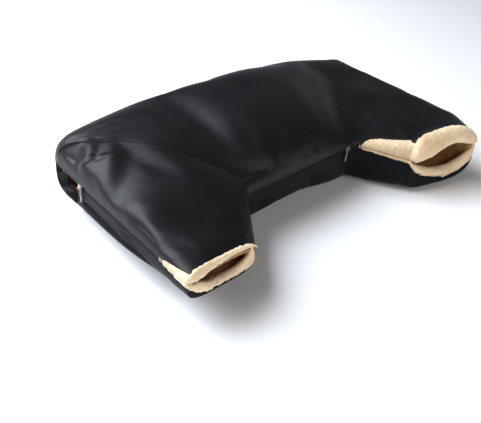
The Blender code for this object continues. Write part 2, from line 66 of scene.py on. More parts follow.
# Camera and light
# The picture is taken from above the left sleeve's mouth. A large soft light stands behind the muff's left
# end, where the satin mirrors it, and a weaker, warmer one in front lights the fleece of the mouths.
CAMERA_PLACE = (-0.587, -0.615, 0.468)
CAMERA_AIM = (-0.153, -0.195, 0.0)
CAMERA_ROLL = math.radians(6.4)
CAMERA_LENS = 46.4
CAMERA_NEAREST = 0.01
FLOOR_GAP = 0.001
FLOOR_SIZE = 4.0
FLOOR_LOOK = {"Base Color": (0.90, 0.90, 0.905, 1), "Roughness": 0.9}
LIGHTS = {
    # name: (place, aim, width, height, watts, colour, how strongly the satin mirrors it)
    "window": ((-1.05, 0.95, 1.45), (-0.12, -0.08, 0.0), 1.8, 1.8, 116.0, (0.88, 0.93, 1.0), 1.0),
    "front": ((-0.2, -2.3, 1.1), (0.0, -0.2, 0.0), 2.4, 1.6, 26.0, (1.0, 0.97, 0.94), 0.35),
}
# The surroundings, light at the horizon and dark above: height and colour of two stops
HORIZON = ((0.0, (0.42, 0.44, 0.48)), (0.26, (0.024, 0.024, 0.027)))


def link(name, data, material=None):
    """A new object of the scene, at the origin."""
    obj = bpy.data.objects.new(name, data)
    if material:
        data.materials.append(material)
    bpy.context.scene.collection.objects.link(obj)
    return obj


def aimed(obj, place, aim, roll=0.0):
    """Moves a camera or a lamp to its place and turns it to its aim."""
    obj.location = place
    obj.rotation_mode = "QUATERNION"
    level = (Vector(aim) - Vector(place)).to_track_quat("-Z", "Y")
    obj.rotation_quaternion = level @ Quaternion((0, 0, 1), roll)


def node(tree, kind, values={}, sources={}, **settings):
    """A shader node: its own settings, values of its inputs, and outputs that other inputs are joined to."""
    made = tree.nodes.new("ShaderNode" + kind)
    for key, value in settings.items():
        setattr(made, key, value)
    for key, value in values.items():
        made.inputs[key].default_value = value
    for key, source in sources.items():
        tree.links.new(source, made.inputs[key])
    return made


def ramp(tree, source, *stops):
    """The colour of a ramp over a source, through two stops, each a position and a colour."""
    made = node(tree, "ValToRGB", sources={"Fac": source})
    for element, (position, colour) in zip(made.color_ramp.elements, stops):
        element.position, element.color = position, (*colour, 1)
    return made.outputs["Color"]


def new_material(name, values):
    """A material, its node tree and its shader, with values set on the shader's inputs."""
    material = bpy.data.materials.new(name)
    material.use_nodes = True
    shader = material.node_tree.nodes["Principled BSDF"]
    for key, value in values.items():
        shader.inputs[key].default_value = value
    return material, material.node_tree, shader


def finished(tree, shader, colour, relief, rough=None):
    """Joins a material's colour, relief and roughness to its shader."""
    tree.links.new(colour, shader.inputs["Base Color"])
    tree.links.new(relief.outputs["Normal"], shader.inputs["Normal"])
    if rough:
        tree.links.new(rough.outputs["Result"], shader.inputs["Roughness"])


camera = link("camera", bpy.data.cameras.new("camera"))
bpy.context.scene.camera = camera
camera.data.lens = CAMERA_LENS
camera.data.clip_start = CAMERA_NEAREST
aimed(camera, CAMERA_PLACE, CAMERA_AIM, CAMERA_ROLL)

for name, (place, aim, width, height, watts, colour, mirrored) in LIGHTS.items():
    light = bpy.data.lights.new(name, "AREA")
    light.shape, light.size, light.size_y = "RECTANGLE", width, height
    light.energy, light.color, light.specular_factor = watts, colour, mirrored
    aimed(link(name, light), place, aim)

world = bpy.data.worlds.new("studio")
bpy.context.scene.world = world
world.use_nodes = True
sky = world.node_tree
axes = node(sky, "SeparateXYZ", sources={"Vector": node(sky, "TexCoord").outputs["Generated"]})
sky.links.new(ramp(sky, axes.outputs["Z"], *HORIZON), sky.nodes["Background"].inputs["Color"])
bpy.context.scene.view_settings.view_transform = "Standard"

floor_mesh = bpy.data.meshes.new("floor")
half_size, floor_z = FLOOR_SIZE / 2, cad_low.z - FLOOR_GAP
corners = [(x * half_size, y * half_size, floor_z) for x, y in ((-1, -1), (1, -1), (1, 1), (-1, 1))]
floor_mesh.from_pydata(corners, [], [(0, 1, 2, 3)])
floor = link("floor", floor_mesh, new_material("floor", FLOOR_LOOK)[0])

# Upper and lower panel
# Each half's outer panel is black satin-coated cloth over batting, one U-shaped cut that swells from its seams.
# The two lie on each other along the zips and meet at the fold behind the handlebar.
HALF_WIDTH = 0.284
MOUTH_Y = -0.258
FOLD_Y = 0.036
FOLD_BOW = 0.010
CORNER_RADIUS = 0.024
CROTCH_Y = -0.170
CROTCH_RADIUS = 0.022
# Corners of the inner seam, from the left mouth past both crotches to the right one
INNER_CORNERS = (
    (-0.592 * HALF_WIDTH, 0.938 * MOUTH_Y, -0.022),
    (-0.422 * HALF_WIDTH, CROTCH_Y, -0.006),
    (0.356 * HALF_WIDTH, CROTCH_Y, -0.006),
    (0.553 * HALF_WIDTH, 0.922 * MOUTH_Y, -0.018),
)
STATION_SHARES = (0, 0.12, 0.26, 0.38, 0.5, 0.62, 0.74, 0.88, 1)
ARC_POINTS = 12
UPPER = {
    "name": "upper",
    "sign": 1,
    "height": 0.063,
    "heights": (0.29, 0.57, 0.79, 0.97, 1, 0.83, 0.36, 0.40, 0.48),
    "crests": (0.50, 0.50, 0.66, 0.62, 0.60, 0.58, 0.60, 0.50, 0.50),
    "inner": 0.80,
    "outer": 0.70,
    "bar": 0.0045,
}
LOWER = {
    "name": "lower",
    "sign": -1,
    "height": 0.074,
    "heights": (0.36, 0.65, 0.81, 0.71, 0.73, 0.86, 1, 0.92, 0.76),
    "crests": (0.50,) * 9,
    "inner": 0.38,
    "outer": 0.45,
    "bar": 0.040,
}
PARTING_GAP = 0.0010
BAR_HOLE_HALF_WIDTH = 0.030
BAR_HOLE_Y = -0.003
BAR_HOLE_SQUARENESS = 4
SIDE_SLIT_LENGTH = 0.046
ZIP_SLOT = 0.0026
LEFT_SIDE_FACING = 0.0110
RIGHT_SIDE_FACING = 0.0070
INNER_SLIT_FACING = 0.0290
INNER_SLIT_OPENS = 0.24
INNER_SLIT_OPENS_OVER = 0.05
LOWER_FACING = 0.0055
PANEL_INSIDE = 0.0079
PANEL_STEPS = (280, 64)
HOLE_STATIONS = 25
ROLL_STARTS = (0.0030, 0.9920)
CORNER_CLEARS = 0.0015
CORNER_LENGTH = 0.02
# Over the last stretch of its side slit the right mouth hangs forward and down and gapes, highest near the crotch.
# The upper half's inner wall stands straighter towards it.
RIGHT_RIM_HANGS = (0.0, -0.012, -0.014)
RIGHT_MOUTH_GAPES = 0.0125
RIGHT_CREST_MOVES = -0.10
RIGHT_OUTER_SLACKENS = 0.35
STRAIGHTER_FROM = 0.80
STRAIGHTER_INNER = 0.40


def turn(count):
    """Angles evenly round a full turn."""
    return np.linspace(0, 2 * math.pi, count + 1)[:-1]


def bend(start, corner, end, t):
    """A quadratic curve from start to end, drawn towards a corner."""
    return (1 - t) ** 2 * start + 2 * t * (1 - t) * corner + t * t * end


def rounded_path(points, radius):
    """The open polyline through the points, with each inner corner bent between its two tangent points."""
    corners = [np.array(point, float) for point in points]
    path = [corners[0]]
    for before, corner, after in zip(corners[:-2], corners[1:-1], corners[2:]):
        back, ahead = unit(before - corner), unit(after - corner)
        reach = radius / math.tan(math.acos(np.clip(back @ ahead, -1, 1)) / 2)
        t = np.linspace(0, 1, ARC_POINTS)[:, None]
        path += list(bend(corner + back * reach, corner, corner + ahead * reach, t))
    path.append(corners[-1])
    return np.array(path)


def lengths_along(path, axis=0):
    """The way from the start of a path to each of its points, along one axis of an array of points."""
    steps = np.linalg.norm(np.diff(path, axis=axis), axis=-1)
    return np.insert(np.cumsum(steps, axis=axis), 0, 0.0, axis=axis)


def unit(vectors):
    """Vectors brought to length one."""
    return vectors / np.maximum(np.linalg.norm(vectors, axis=-1, keepdims=True), 1e-12)


def read_off(places, lengths, values):
    """Points or ways, known at some lengths along a line, at places between them."""
    return np.stack([np.interp(places, lengths, column) for column in values.T], axis=-1)


def at_share(path, share):
    """The point of a path at a share of its length."""
    lengths = lengths_along(path)
    return read_off(share * lengths[-1], lengths, path)


OUTER_PATH = rounded_path(
    [(-HALF_WIDTH, MOUTH_Y, 0), (-HALF_WIDTH, FOLD_Y, 0), (HALF_WIDTH, FOLD_Y, 0), (HALF_WIDTH, MOUTH_Y, 0)],
    CORNER_RADIUS,
)
INNER_PATH = rounded_path(INNER_CORNERS, CROTCH_RADIUS)
OUTER_LENGTH = lengths_along(OUTER_PATH)[-1]
INNER_LENGTH = lengths_along(INNER_PATH)[-1]
SLIT_END = SIDE_SLIT_LENGTH / OUTER_LENGTH
HOLE_CENTRE = (BAR_HOLE_Y - MOUTH_Y) / OUTER_LENGTH
HOLE_HALF = BAR_HOLE_HALF_WIDTH / OUTER_LENGTH
FOLD_START = HOLE_CENTRE + HOLE_HALF
INNER_SLIT_START = lengths_along(INNER_PATH)[2 * ARC_POINTS] / INNER_LENGTH


def smooth_step(t):
    """A rise from 0 to 1 as t does the same, flat at both ends."""
    t = np.clip(t, 0, 1)
    return t * t * (3 - 2 * t)


def eased(shares, s):
    """A cubic through the station values, whose slope at each station is the mean of the slopes beside it."""
    values, stations = np.array(shares), np.array(STATION_SHARES)
    i = np.clip(np.searchsorted(stations, s, side="right") - 1, 0, len(stations) - 2)
    slope = np.gradient(values, stations)
    width = stations[i + 1] - stations[i]
    t = (s - stations[i]) / width
    return (
        (1 + 2 * t) * (1 - t) ** 2 * values[i]
        + t * (1 - t) ** 2 * width * slope[i]
        + t * t * (3 - 2 * t) * values[i + 1]
        + t * t * (t - 1) * width * slope[i + 1]
    )


def hanging(s):
    """How far a station is into the stretch that hangs at the right mouth, as a smooth step from 0 to 1."""
    return smooth_step(1 - (1 - s) / SLIT_END)


def section_at(half, s, inset):
    """A half's cross-section at share s of the outline: both rims, the way across, both reaches, the height."""
    inner, outer = at_share(INNER_PATH, s), at_share(OUTER_PATH, s)
    outer += np.array(RIGHT_RIM_HANGS) * hanging(s)[..., None]
    above = hanging(s) * (half["sign"] > 0)
    bow = np.clip(1 - (outer[..., 0] / HALF_WIDTH) ** 2, 0, 1) * smooth_step(outer[..., 1] / FOLD_Y)
    outer[..., 1] += FOLD_BOW * bow
    chord = outer - inner
    span = np.linalg.norm(chord, axis=-1)
    across = chord / span[..., None]
    crest = eased(half["crests"], s) + RIGHT_CREST_MOVES * above
    return {
        "inner": inner + across * inset,
        "outer": outer - across * inset,
        "across": across,
        "inner_reach": crest * span - inset,
        "outer_reach": (1 - crest) * span - inset,
        "height": half["height"] * eased(half["heights"], s) + RIGHT_MOUTH_GAPES * above - inset,
    }


def fullness_at(half, edge, s):
    """The exponent of a wall's superellipse. Towards the right mouth the upper half's inner wall stands
    straighter and its outer one lies flatter."""
    if half["sign"] < 0:
        return half[edge] + 0.0 * s
    if edge == "outer":
        return half[edge] + RIGHT_OUTER_SLACKENS * hanging(s)
    return half[edge] + (STRAIGHTER_INNER - half[edge]) * smooth_step((s - STRAIGHTER_FROM) / (1 - STRAIGHTER_FROM))


def on_wall(half, edge, f, fullness, angle):
    """Points of a wall at angles of its superellipse quarter, from 0 at the rim to a quarter turn at the crest."""
    run = f[edge + "_reach"] * (1 - np.maximum(np.cos(angle), 0) ** fullness)
    point = f[edge] + (f["across"] if edge == "inner" else -f["across"]) * run[..., None]
    point[..., 2] += half["sign"] * f["height"] * np.sin(angle) ** fullness
    return point


def angle_at(height, f, fullness):
    """The angle of a wall's superellipse quarter where it reaches a height above the parting line."""
    return np.arcsin(np.clip(height / f["height"], 0, 1) ** (1 / fullness))


def rim_point(half, edge, s, height, inset):
    """The point of a half's wall at a height above the parting line, at its inner or outer edge."""
    f, fullness = section_at(half, s, inset), fullness_at(half, edge, s)
    return on_wall(half, edge, f, fullness, angle_at(height, f, fullness))


def wall(half, edge, s, steps, inset, cut):
    """One half from the height named by cut to its crest, over each station's way across.

    The angle grows as t^p / (t^p + (1 - t)^p) with p the inverse of the fullness, which spaces the points
    nearly evenly along the section."""
    f = {key: value[:, None] for key, value in section_at(half, s, inset).items()}
    fullness = fullness_at(half, edge, s)[:, None]
    first = angle_at(cut[:, None], f, fullness) / (math.pi / 2)
    first = first**fullness / (first**fullness + (1 - first) ** fullness)
    t = first + (1 - first) * np.linspace(0, 1, steps)
    angle = math.pi / 2 * t ** (1 / fullness) / (t ** (1 / fullness) + (1 - t) ** (1 / fullness))
    return on_wall(half, edge, f, fullness, angle)


def half_grid(half, s, steps, inset, cuts):
    """Both walls of a half, which meet at the crest, from the inner rim to the outer one."""
    inner, outer = (wall(half, edge, s, steps, inset, cut) for edge, cut in zip(("inner", "outer"), cuts))
    return np.concatenate([inner, outer[:, -2::-1]], axis=1)


def stations(count):
    """Shares along the outline, evenly spaced, with close ones over both handlebar holes."""
    hole = HOLE_CENTRE + HOLE_HALF * np.sin(np.linspace(-math.pi / 2, math.pi / 2, HOLE_STATIONS))
    return np.unique(np.round(np.concatenate([np.linspace(0, 1, count), hole, 1 - hole]), 5))


def hole_rise(half, s):
    """How far a handlebar hole's rim stands off the parting line, a superellipse along the side."""
    from_centre = np.minimum(np.abs(s - HOLE_CENTRE), np.abs(1 - s - HOLE_CENTRE)) / HOLE_HALF
    inside = np.clip(1 - from_centre**BAR_HOLE_SQUARENESS, 0, 1)
    return half["bar"] * inside ** (1 / BAR_HOLE_SQUARENESS)


def facing_height(half, edge, s):
    """How much of the wall an open slit's fleece takes, growing as a square root from the slit's end.

    The upper half's inner slit opens by a share of its facing at once, as 1 - exp(-t / w), and then evenly."""
    if edge == "inner":
        t = np.clip((s - INNER_SLIT_START) / (1 - INNER_SLIT_START), 0, 1)
    else:
        t = np.clip(1 - np.minimum(s, 1 - s) / SLIT_END, 0, 1)
    most, grown = LOWER_FACING, np.sqrt(t)
    if half["sign"] > 0 and edge == "inner":
        most = INNER_SLIT_FACING
        grown = INNER_SLIT_OPENS * (1 - np.exp(-t / INNER_SLIT_OPENS_OVER)) + (1 - INNER_SLIT_OPENS) * t
    elif half["sign"] > 0:
        most = np.where(s < 0.5, LEFT_SIDE_FACING, RIGHT_SIDE_FACING)
    return ZIP_SLOT + (most - ZIP_SLOT) * grown


def panel_cuts(half, s):
    """The heights at which a panel's cloth starts, over its inner and its outer rim."""
    on_fold = np.minimum(s, 1 - s) > FOLD_START
    outer = np.maximum(facing_height(half, "outer", s), hole_rise(half, s))
    by_corner = np.clip(1 - (ROLL_STARTS[1] - s) / CORNER_LENGTH, 0, 1) ** 2
    inner = facing_height(half, "inner", s) + CORNER_CLEARS * by_corner
    return inner, np.where(on_fold, PARTING_GAP / 2, outer)


def outward(half, grid):
    """Unit normals of a half's grid, by the cross product of its two central differences."""
    return unit(half["sign"] * np.cross(np.gradient(grid, axis=0), np.gradient(grid, axis=1)))


def waves(points, size, seed, count=24):
    """Smooth noise from -1 to 1: a sum of sines whose ways and phases come from a seeded draw."""
    draw = np.random.default_rng(seed)
    ways = draw.normal(size=(count, 3))
    ways *= (2 * math.pi / size) * draw.uniform(*WAVE_SPREAD, (count, 1)) / np.linalg.norm(ways, axis=1, keepdims=True)
    phases = draw.uniform(0, 2 * math.pi, count)
    total = np.zeros(points.shape[:-1])
    for way, phase in zip(ways, phases):
        total += np.sin(points @ way + phase)
    return total / math.sqrt(count)


def beside(points, route):
    """Distance in plan from each point to a polyline, and how far along it the nearest place is."""
    route = np.array(route)
    lengths = lengths_along(route)
    best = np.full(points.shape[:-1], np.inf)
    share = np.zeros_like(best)
    for start, end, before, after in zip(route[:-1], route[1:], lengths[:-1], lengths[1:]):
        way = end - start
        t = np.clip((points[..., :2] - start) @ way / (way @ way), 0, 1)
        distance = np.linalg.norm(points[..., :2] - (start + t[..., None] * way), axis=-1)
        nearer = distance < best
        best = np.where(nearer, distance, best)
        share = np.where(nearer, (before + (after - before) * t) / lengths[-1], share)
    return best, share


# Folds of the panels, in plan: route, half width, rise (a valley's is negative)
FOLD_SHARPNESS = 1.8
UPPER_FOLDS = (
    (((-0.128, 0.026), (-0.118, -0.040), (-0.112, -0.110), (-0.096, -0.185)), 0.024, -0.0070),
    (((-0.170, -0.100), (-0.135, -0.135), (-0.090, -0.180)), 0.016, -0.0045),
    (((-0.070, -0.090), (-0.080, -0.130), (-0.094, -0.185)), 0.010, -0.0030),
    (((-0.020, -0.110), (-0.045, -0.145), (-0.080, -0.180)), 0.011, -0.0025),
    (((0.126, -0.020), (0.075, -0.100), (0.040, -0.185)), 0.016, -0.0025),
    (((0.165, -0.060), (0.120, -0.120), (0.078, -0.185)), 0.013, -0.0025),
    (((0.215, -0.110), (0.150, -0.140), (0.085, -0.182)), 0.012, -0.0020),
    (((-0.290, 0.016), (-0.250, 0.004), (-0.210, 0.000), (-0.150, -0.004)), 0.013, 0.0030),
    (((-0.286, 0.004), (-0.254, -0.013), (-0.217, -0.017), (-0.160, -0.026)), 0.008, -0.0034),
    (((-0.262, -0.014), (-0.274, -0.017), (-0.290, -0.019)), 0.009, -0.0040),
    (((-0.246, -0.014), (-0.262, -0.033), (-0.284, -0.050)), 0.007, 0.0046),
    (((-0.232, -0.015), (-0.252, -0.038), (-0.272, -0.060)), 0.007, -0.0038),
    (((-0.226, -0.030), (-0.258, -0.070), (-0.288, -0.100)), 0.012, 0.0034),
    (((-0.210, -0.028), (-0.242, -0.064)), 0.008, -0.0026),
    (((-0.205, -0.050), (-0.236, -0.078), (-0.262, -0.100), (-0.290, -0.125)), 0.010, -0.0026),
    (((-0.281, -0.120), (-0.262, -0.150), (-0.235, -0.185)), 0.012, 0.0022),
    (((-0.275, -0.185), (-0.245, -0.215), (-0.225, -0.240)), 0.013, 0.0022),
)
# Folds beside the side seams: first and last share of the outline, way from the rim at both, half width, rise
LOWER_CHANNELS = (
    (0.050, 0.205, 0.0140, 0.0190, 0.0035, -0.0040),
    (0.040, 0.215, 0.0190, 0.0300, 0.0060, 0.0035),
    (0.060, 0.190, 0.0310, 0.0480, 0.0060, -0.0030),
)
LOWER_FOLDS = ((((-0.150, -0.215), (-0.135, -0.190), (-0.080, -0.168)), 0.008, -0.0020),)
LIFT_PASSES = 7
# Long swells all over the cloth, and short pleats beside the front zip: rise, size, way from the rim
SWELLS = (0.0010, 0.11, 0.03)
PLEATS = (0.0008, 0.022, 0.010)
PLEAT_REACH = 0.035
PLEATS_STOP = (0.03, 0.05)
WAVE_SPREAD = (0.6, 1.5)
RIM_HOLDS = 0.012
RIM_LETS_GO = 0.7
# Below this height a panel keeps its form, because a zip's tape is sewn under it
TAPE_HOLDS = 0.0125
TAPE_LETS_GO = 0.0080
# The form's crest, a line where its two walls meet, is worn round
CREST_COLUMNS = 16
CREST_PASSES = 14
# How the cloth settles: how much larger than its form it is cut, away from and beside its seams and by the left
# corner, and the pull of the wadding that holds it to the form
CLOTH_STATIONS = 200
CLOTH_FRAMES = 24
CLOTH_LOOSE = 0.008
CLOTH_GATHERED = 0.030
GATHER_WIDTH = 0.022
CORNER_GATHERS = 0.35
CORNER_PLACE = (-HALF_WIDTH, -0.03)
CORNER_REACH = 0.07
WADDING_PULL = 0.05
MOST_SETTLING = 0.004
WAY_PASSES = 4
CLOTH = {
    "quality": 5,
    "mass": 0.15,
    "tension_stiffness": 12,
    "compression_stiffness": 12,
    "shear_stiffness": 4,
    "bending_stiffness": 3.0,
    "air_damping": 3,
    "vertex_group_mass": "sewn",
    "pin_stiffness": 1,
    "vertex_group_shrink": "gathered",
    "shrink_min": -CLOTH_LOOSE,
    "shrink_max": -CLOTH_GATHERED,
}
# A valley deeper than this presses the lining in as well
WADDING_GIVES = 0.004


def folded(points, folds):
    """How far the folds lift the cloth: each ridge or valley falls off from its route as exp(-(d / w)^k)."""
    lift = np.zeros(points.shape[:-1])
    for route, half_width, rise in folds:
        distance, share = beside(points, route)
        ends = 4 * share * (1 - share)
        lift += rise * ends * np.exp(-((distance / half_width) ** FOLD_SHARPNESS))
    return lift


def channelled(s, to_outer, channels):
    """Folds that run beside the outer seams of both sides, each a Gaussian across its own line."""
    lift = np.zeros_like(to_outer)
    from_mouth = np.minimum(s, 1 - s)[:, None]
    for start, end, near, far, half_width, rise in channels:
        t = np.clip((from_mouth - start) / (end - start), 0, 1)
        ends = np.clip(6 * t * (1 - t), 0, 1)
        lift += rise * ends * np.exp(-(((to_outer - near - (far - near) * t) / half_width) ** 2))
    return lift


def resampled(values, old, new, axis=0):
    """Values on a row of stations, read off at others along straight lines between them."""
    values = np.moveaxis(values, axis, 0)
    i = np.clip(np.searchsorted(old, new, side="right") - 1, 0, len(old) - 2)
    t = ((new - old[i]) / (old[i + 1] - old[i])).reshape((-1,) + (1,) * (values.ndim - 1))
    return np.moveaxis(values[i] * (1 - t) + values[i + 1] * t, 0, axis)


def smoothed(grid, passes):
    """Averages a grid in place with its neighbours, 1-2-1 along both of its directions. Its rim stays."""
    for _ in range(passes):
        grid[1:-1] = (grid[:-2] + 2 * grid[1:-1] + grid[2:]) / 4
        grid[:, 1:-1] = (grid[:, :-2] + 2 * grid[:, 1:-1] + grid[:, 2:]) / 4


def grid_quads(rows, columns):
    """The quads of a grid of points, as rows of four indices."""
    corner = (np.arange(rows - 1)[:, None] * columns + np.arange(columns - 1)).reshape(-1, 1)
    return corner + np.array([0, columns, columns + 1, 1])


def new_mesh(name, points, faces):
    """A mesh with smooth shading, from an array of points and a list of faces."""
    mesh = bpy.data.meshes.new(name)
    mesh.from_pydata(points.reshape(-1, 3).tolist(), [], faces)
    mesh.shade_smooth()
    return mesh


def settled(name, half, s, form, gathers):
    """How the cloth of a panel moves when it is let go: Blender's Cloth on a coarser grid of the same form.

    The cloth is cut larger than its form, most of all where gathers is 1, and is sewn down all round, so it
    buckles. Each point's way is capped, then spread over the fine grid along both of its directions."""
    coarse = np.linspace(s[0], s[-1], CLOTH_STATIONS)
    start = resampled(form, s, coarse)[:, ::2]
    gather = resampled(gathers, s, coarse)[:, ::2]
    rows, columns = start.shape[:2]
    quads = grid_quads(rows, columns)
    if half["sign"] < 0:
        quads = quads[:, ::-1]
    obj = link(name, new_mesh(name, start, quads.tolist()))
    sewn = np.zeros((rows, columns), bool)
    sewn[[0, 1, -2, -1]] = sewn[:, [0, 1, -2, -1]] = True
    pins, loose = obj.vertex_groups.new(name="sewn"), obj.vertex_groups.new(name="gathered")
    index = np.arange(rows * columns)
    pins.add(index[sewn.ravel()].tolist(), 1.0, "REPLACE")
    pins.add(index[~sewn.ravel()].tolist(), WADDING_PULL, "REPLACE")
    level = np.round(gather.ravel() * 10) / 10
    for value in np.unique(level):
        loose.add(index[level == value].tolist(), float(value), "REPLACE")
    cloth = obj.modifiers.new("cloth", "CLOTH")
    for key, value in CLOTH.items():
        setattr(cloth.settings, key, value)
    cloth.settings.effector_weights.gravity = 0
    cloth.collision_settings.use_collision = False
    cloth.point_cache.frame_end = CLOTH_FRAMES
    for time in range(1, CLOTH_FRAMES + 1):
        bpy.context.scene.frame_set(time)
    graph = bpy.context.evaluated_depsgraph_get()
    result = obj.evaluated_get(graph).to_mesh()
    points = np.empty(rows * columns * 3, np.float32)
    result.vertices.foreach_get("co", points)
    way = points.reshape(rows, columns, 3).astype(float) - start
    bpy.data.objects.remove(obj, do_unlink=True)
    bpy.context.scene.frame_set(1)
    far = np.linalg.norm(way, axis=-1, keepdims=True)
    way *= np.minimum(1, MOST_SETTLING / np.maximum(far, 1e-9))
    smoothed(way, WAY_PASSES)
    spread = resampled(way, np.arange(columns) * 2, np.arange(form.shape[1]), axis=1)
    return resampled(spread, coarse, s)


def panel_mesh(name, half, outside, inside):
    """A closed mesh from two grids of a half. Its UV map holds metres of cloth, unrolled from the crest."""
    rows, columns = outside.shape[:2]
    count = rows * columns
    top = grid_quads(rows, columns)
    index = np.arange(count).reshape(rows, columns)
    rim = np.concatenate([index[0], index[1:, -1], index[-1, -2::-1], index[-2:0:-1, 0]])
    after = np.roll(rim, -1)
    side = np.stack([rim, after, after + count, rim + count], axis=1)
    quads = np.concatenate([top, top[:, ::-1] + count, side])
    if half["sign"] < 0:
        quads = quads[:, ::-1]
    mesh = new_mesh(name, np.concatenate([outside.reshape(-1, 3), inside.reshape(-1, 3)]), quads.tolist())
    middle = columns // 2
    across = lengths_along(outside, 1)
    across = across - across[:, middle : middle + 1]
    way = unit(outside[:, -1, :2] - outside[:, 0, :2])
    flat = outside[:, middle : middle + 1, :2] + way[:, None] * across[..., None]
    flat = np.concatenate([flat.reshape(-1, 2)] * 2)
    layer = mesh.uv_layers.new(name="cloth")
    layer.data.foreach_set("uv", flat[quads.ravel()].ravel().astype(np.float32))
    return mesh


def satin_material(name, specular):
    """Black coated satin: a tight weave that is only felt as grain, fine creases, and a cool sheen."""
    look = {"Specular IOR Level": specular, "Sheen Weight": 0.02, "Sheen Roughness": 0.5}
    material, tree, shader = new_material(name, look)
    place = node(tree, "TexCoord").outputs
    cloud = node(tree, "TexNoise", {"Scale": 22, "Detail": 6}, {"Vector": place["Object"]}).outputs["Fac"]
    tones = ramp(tree, cloud, (0.3, (0.0044, 0.0044, 0.0050)), (0.75, (0.0070, 0.0069, 0.0076)))
    rough = node(tree, "MapRange", {"To Min": 0.39, "To Max": 0.48}, {"Value": cloud})
    weave = {"Scale": 420, "Distortion": 1.5, "Detail": 1}
    weave = node(tree, "TexWave", weave, {"Vector": place["UV"]}, bands_direction="DIAGONAL")
    crease = node(tree, "TexNoise", {"Scale": 90, "Detail": 5, "Roughness": 0.55}, {"Vector": place["Object"]})
    grain = node(tree, "Bump", {"Strength": 0.06, "Distance": 0.0002}, {"Height": weave.outputs["Fac"]})
    creased = {"Height": crease.outputs["Fac"], "Normal": grain.outputs["Normal"]}
    creases = node(tree, "Bump", {"Strength": 0.25, "Distance": 0.0012}, creased)
    finished(tree, shader, tones, creases, rough)
    return material


satin = satin_material("satin_cloth", 0.20)
# The lower panel and the mouths' hems take a copy of the same satin with a quarter of its specular: painted shade, so
# that they mirror less of the bright floor.
shaded_satin = satin_material("worn_satin_cloth", 0.05)
panels = {}
for half, folds in ((UPPER, UPPER_FOLDS), (LOWER, LOWER_FOLDS)):
    name, s = half["name"], stations(PANEL_STEPS[0])
    if half is UPPER:
        s = np.concatenate([[ROLL_STARTS[0]], s[(s > ROLL_STARTS[0]) & (s < ROLL_STARTS[1])], [ROLL_STARTS[1]]])
    cuts = panel_cuts(half, s)
    form = half_grid(half, s, PANEL_STEPS[1], 0.0, cuts)
    across = lengths_along(form, 1)
    to_rim = np.minimum(across, across[:, -1:] - across)
    normal = outward(half, form)
    rise, length, rim = SWELLS
    lift = folded(form, folds) + rise * waves(form, length, seed=3) * np.clip(to_rim / rim, 0, 1)
    smoothed(lift, LIFT_PASSES)
    seam = np.broadcast_to(at_share(INNER_PATH, s)[:, None], form.shape)
    rise, length, rim = PLEATS
    pleats = rise * waves(seam, length, seed=7) * np.exp(-across / PLEAT_REACH) * np.clip(across / rim, 0, 1)
    lift += pleats * np.clip((INNER_SLIT_START - PLEATS_STOP[0] - s) / PLEATS_STOP[1], 0, 1)[:, None]
    lift = lift * np.clip(to_rim / RIM_HOLDS, 0, 1) ** RIM_LETS_GO
    if half is LOWER:
        lift += channelled(s, across[:, -1:] - across, LOWER_CHANNELS)
    along = across / across[:, -1:]
    rims = form[:, :1, 2] * (1 - along) + form[:, -1:, 2] * along
    free = np.clip((np.abs(form[..., 2] - rims) - TAPE_HOLDS) / TAPE_LETS_GO, 0, 1)
    lift = np.maximum(lift, lift * free)
    columns = np.arange(form.shape[1])
    middle = np.exp(-(((columns - form.shape[1] // 2) / CREST_COLUMNS) ** 2))[1:-1, None]
    outside = form + normal * lift[..., None]
    for _ in range(CREST_PASSES):
        outside[:, 1:-1] += middle * (outside[:, :-2] - 2 * outside[:, 1:-1] + outside[:, 2:]) / 4
    from_corner = np.linalg.norm(form[..., :2] - np.array(CORNER_PLACE), axis=-1)
    by_corner = CORNER_GATHERS * np.exp(-((from_corner / CORNER_REACH) ** 2))
    gathers = np.clip(np.exp(-((to_rim / GATHER_WIDTH) ** 2)) + by_corner, 0, 1)
    way = settled(f"{name}_cloth", half, s, outside, gathers)
    settled_lift = lift + np.einsum("ijk,ijk->ij", way, normal)
    lift = np.maximum(settled_lift, settled_lift * free)
    outside = outside + way + normal * (lift - settled_lift)[..., None]
    outside[..., 2] = np.maximum(outside[..., 2], cad_low.z)
    inside = half_grid(half, s, PANEL_STEPS[1], PANEL_INSIDE, cuts)
    inside += normal * np.minimum(lift + WADDING_GIVES, 0)[..., None]
    mesh = panel_mesh(f"{name}_panel", half, outside, inside)
    # the lower panel takes the less reflective copy of the satin: painted shade
    panel = link(f"{name}_panel", mesh, satin if half is UPPER else shaded_satin)
    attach(panel, f"{name}_half")
    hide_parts(f"{name}_shell", f"{name}_wadding")
    panels[name] = {"s": s, "grid": outside, "normal": outward(half, outside), "lift": lift}

# Lining
# Cream fleece lines both halves inside the wadding, painted dark brown: painted shade for the dark inside of the
# sleeves.
# It is sewn in along their rims and follows the deep folds of the cloth over it.
LINING_OUTER = 0.0082
LINING_INNER = 0.0122
LINING_STEPS = (200, 44)
PILE_HEIGHT = 0.0007
PILE_SIZE = 0.007
PILE_WAVES = 40
# The fleece is painted darker along the open slits than at the mouths, painted shade where the slit fleece faces up
# into the lamps: where that starts and where it is full
SLIT_SHADE_FROM = -0.250
SLIT_SHADE_FULL = -0.230


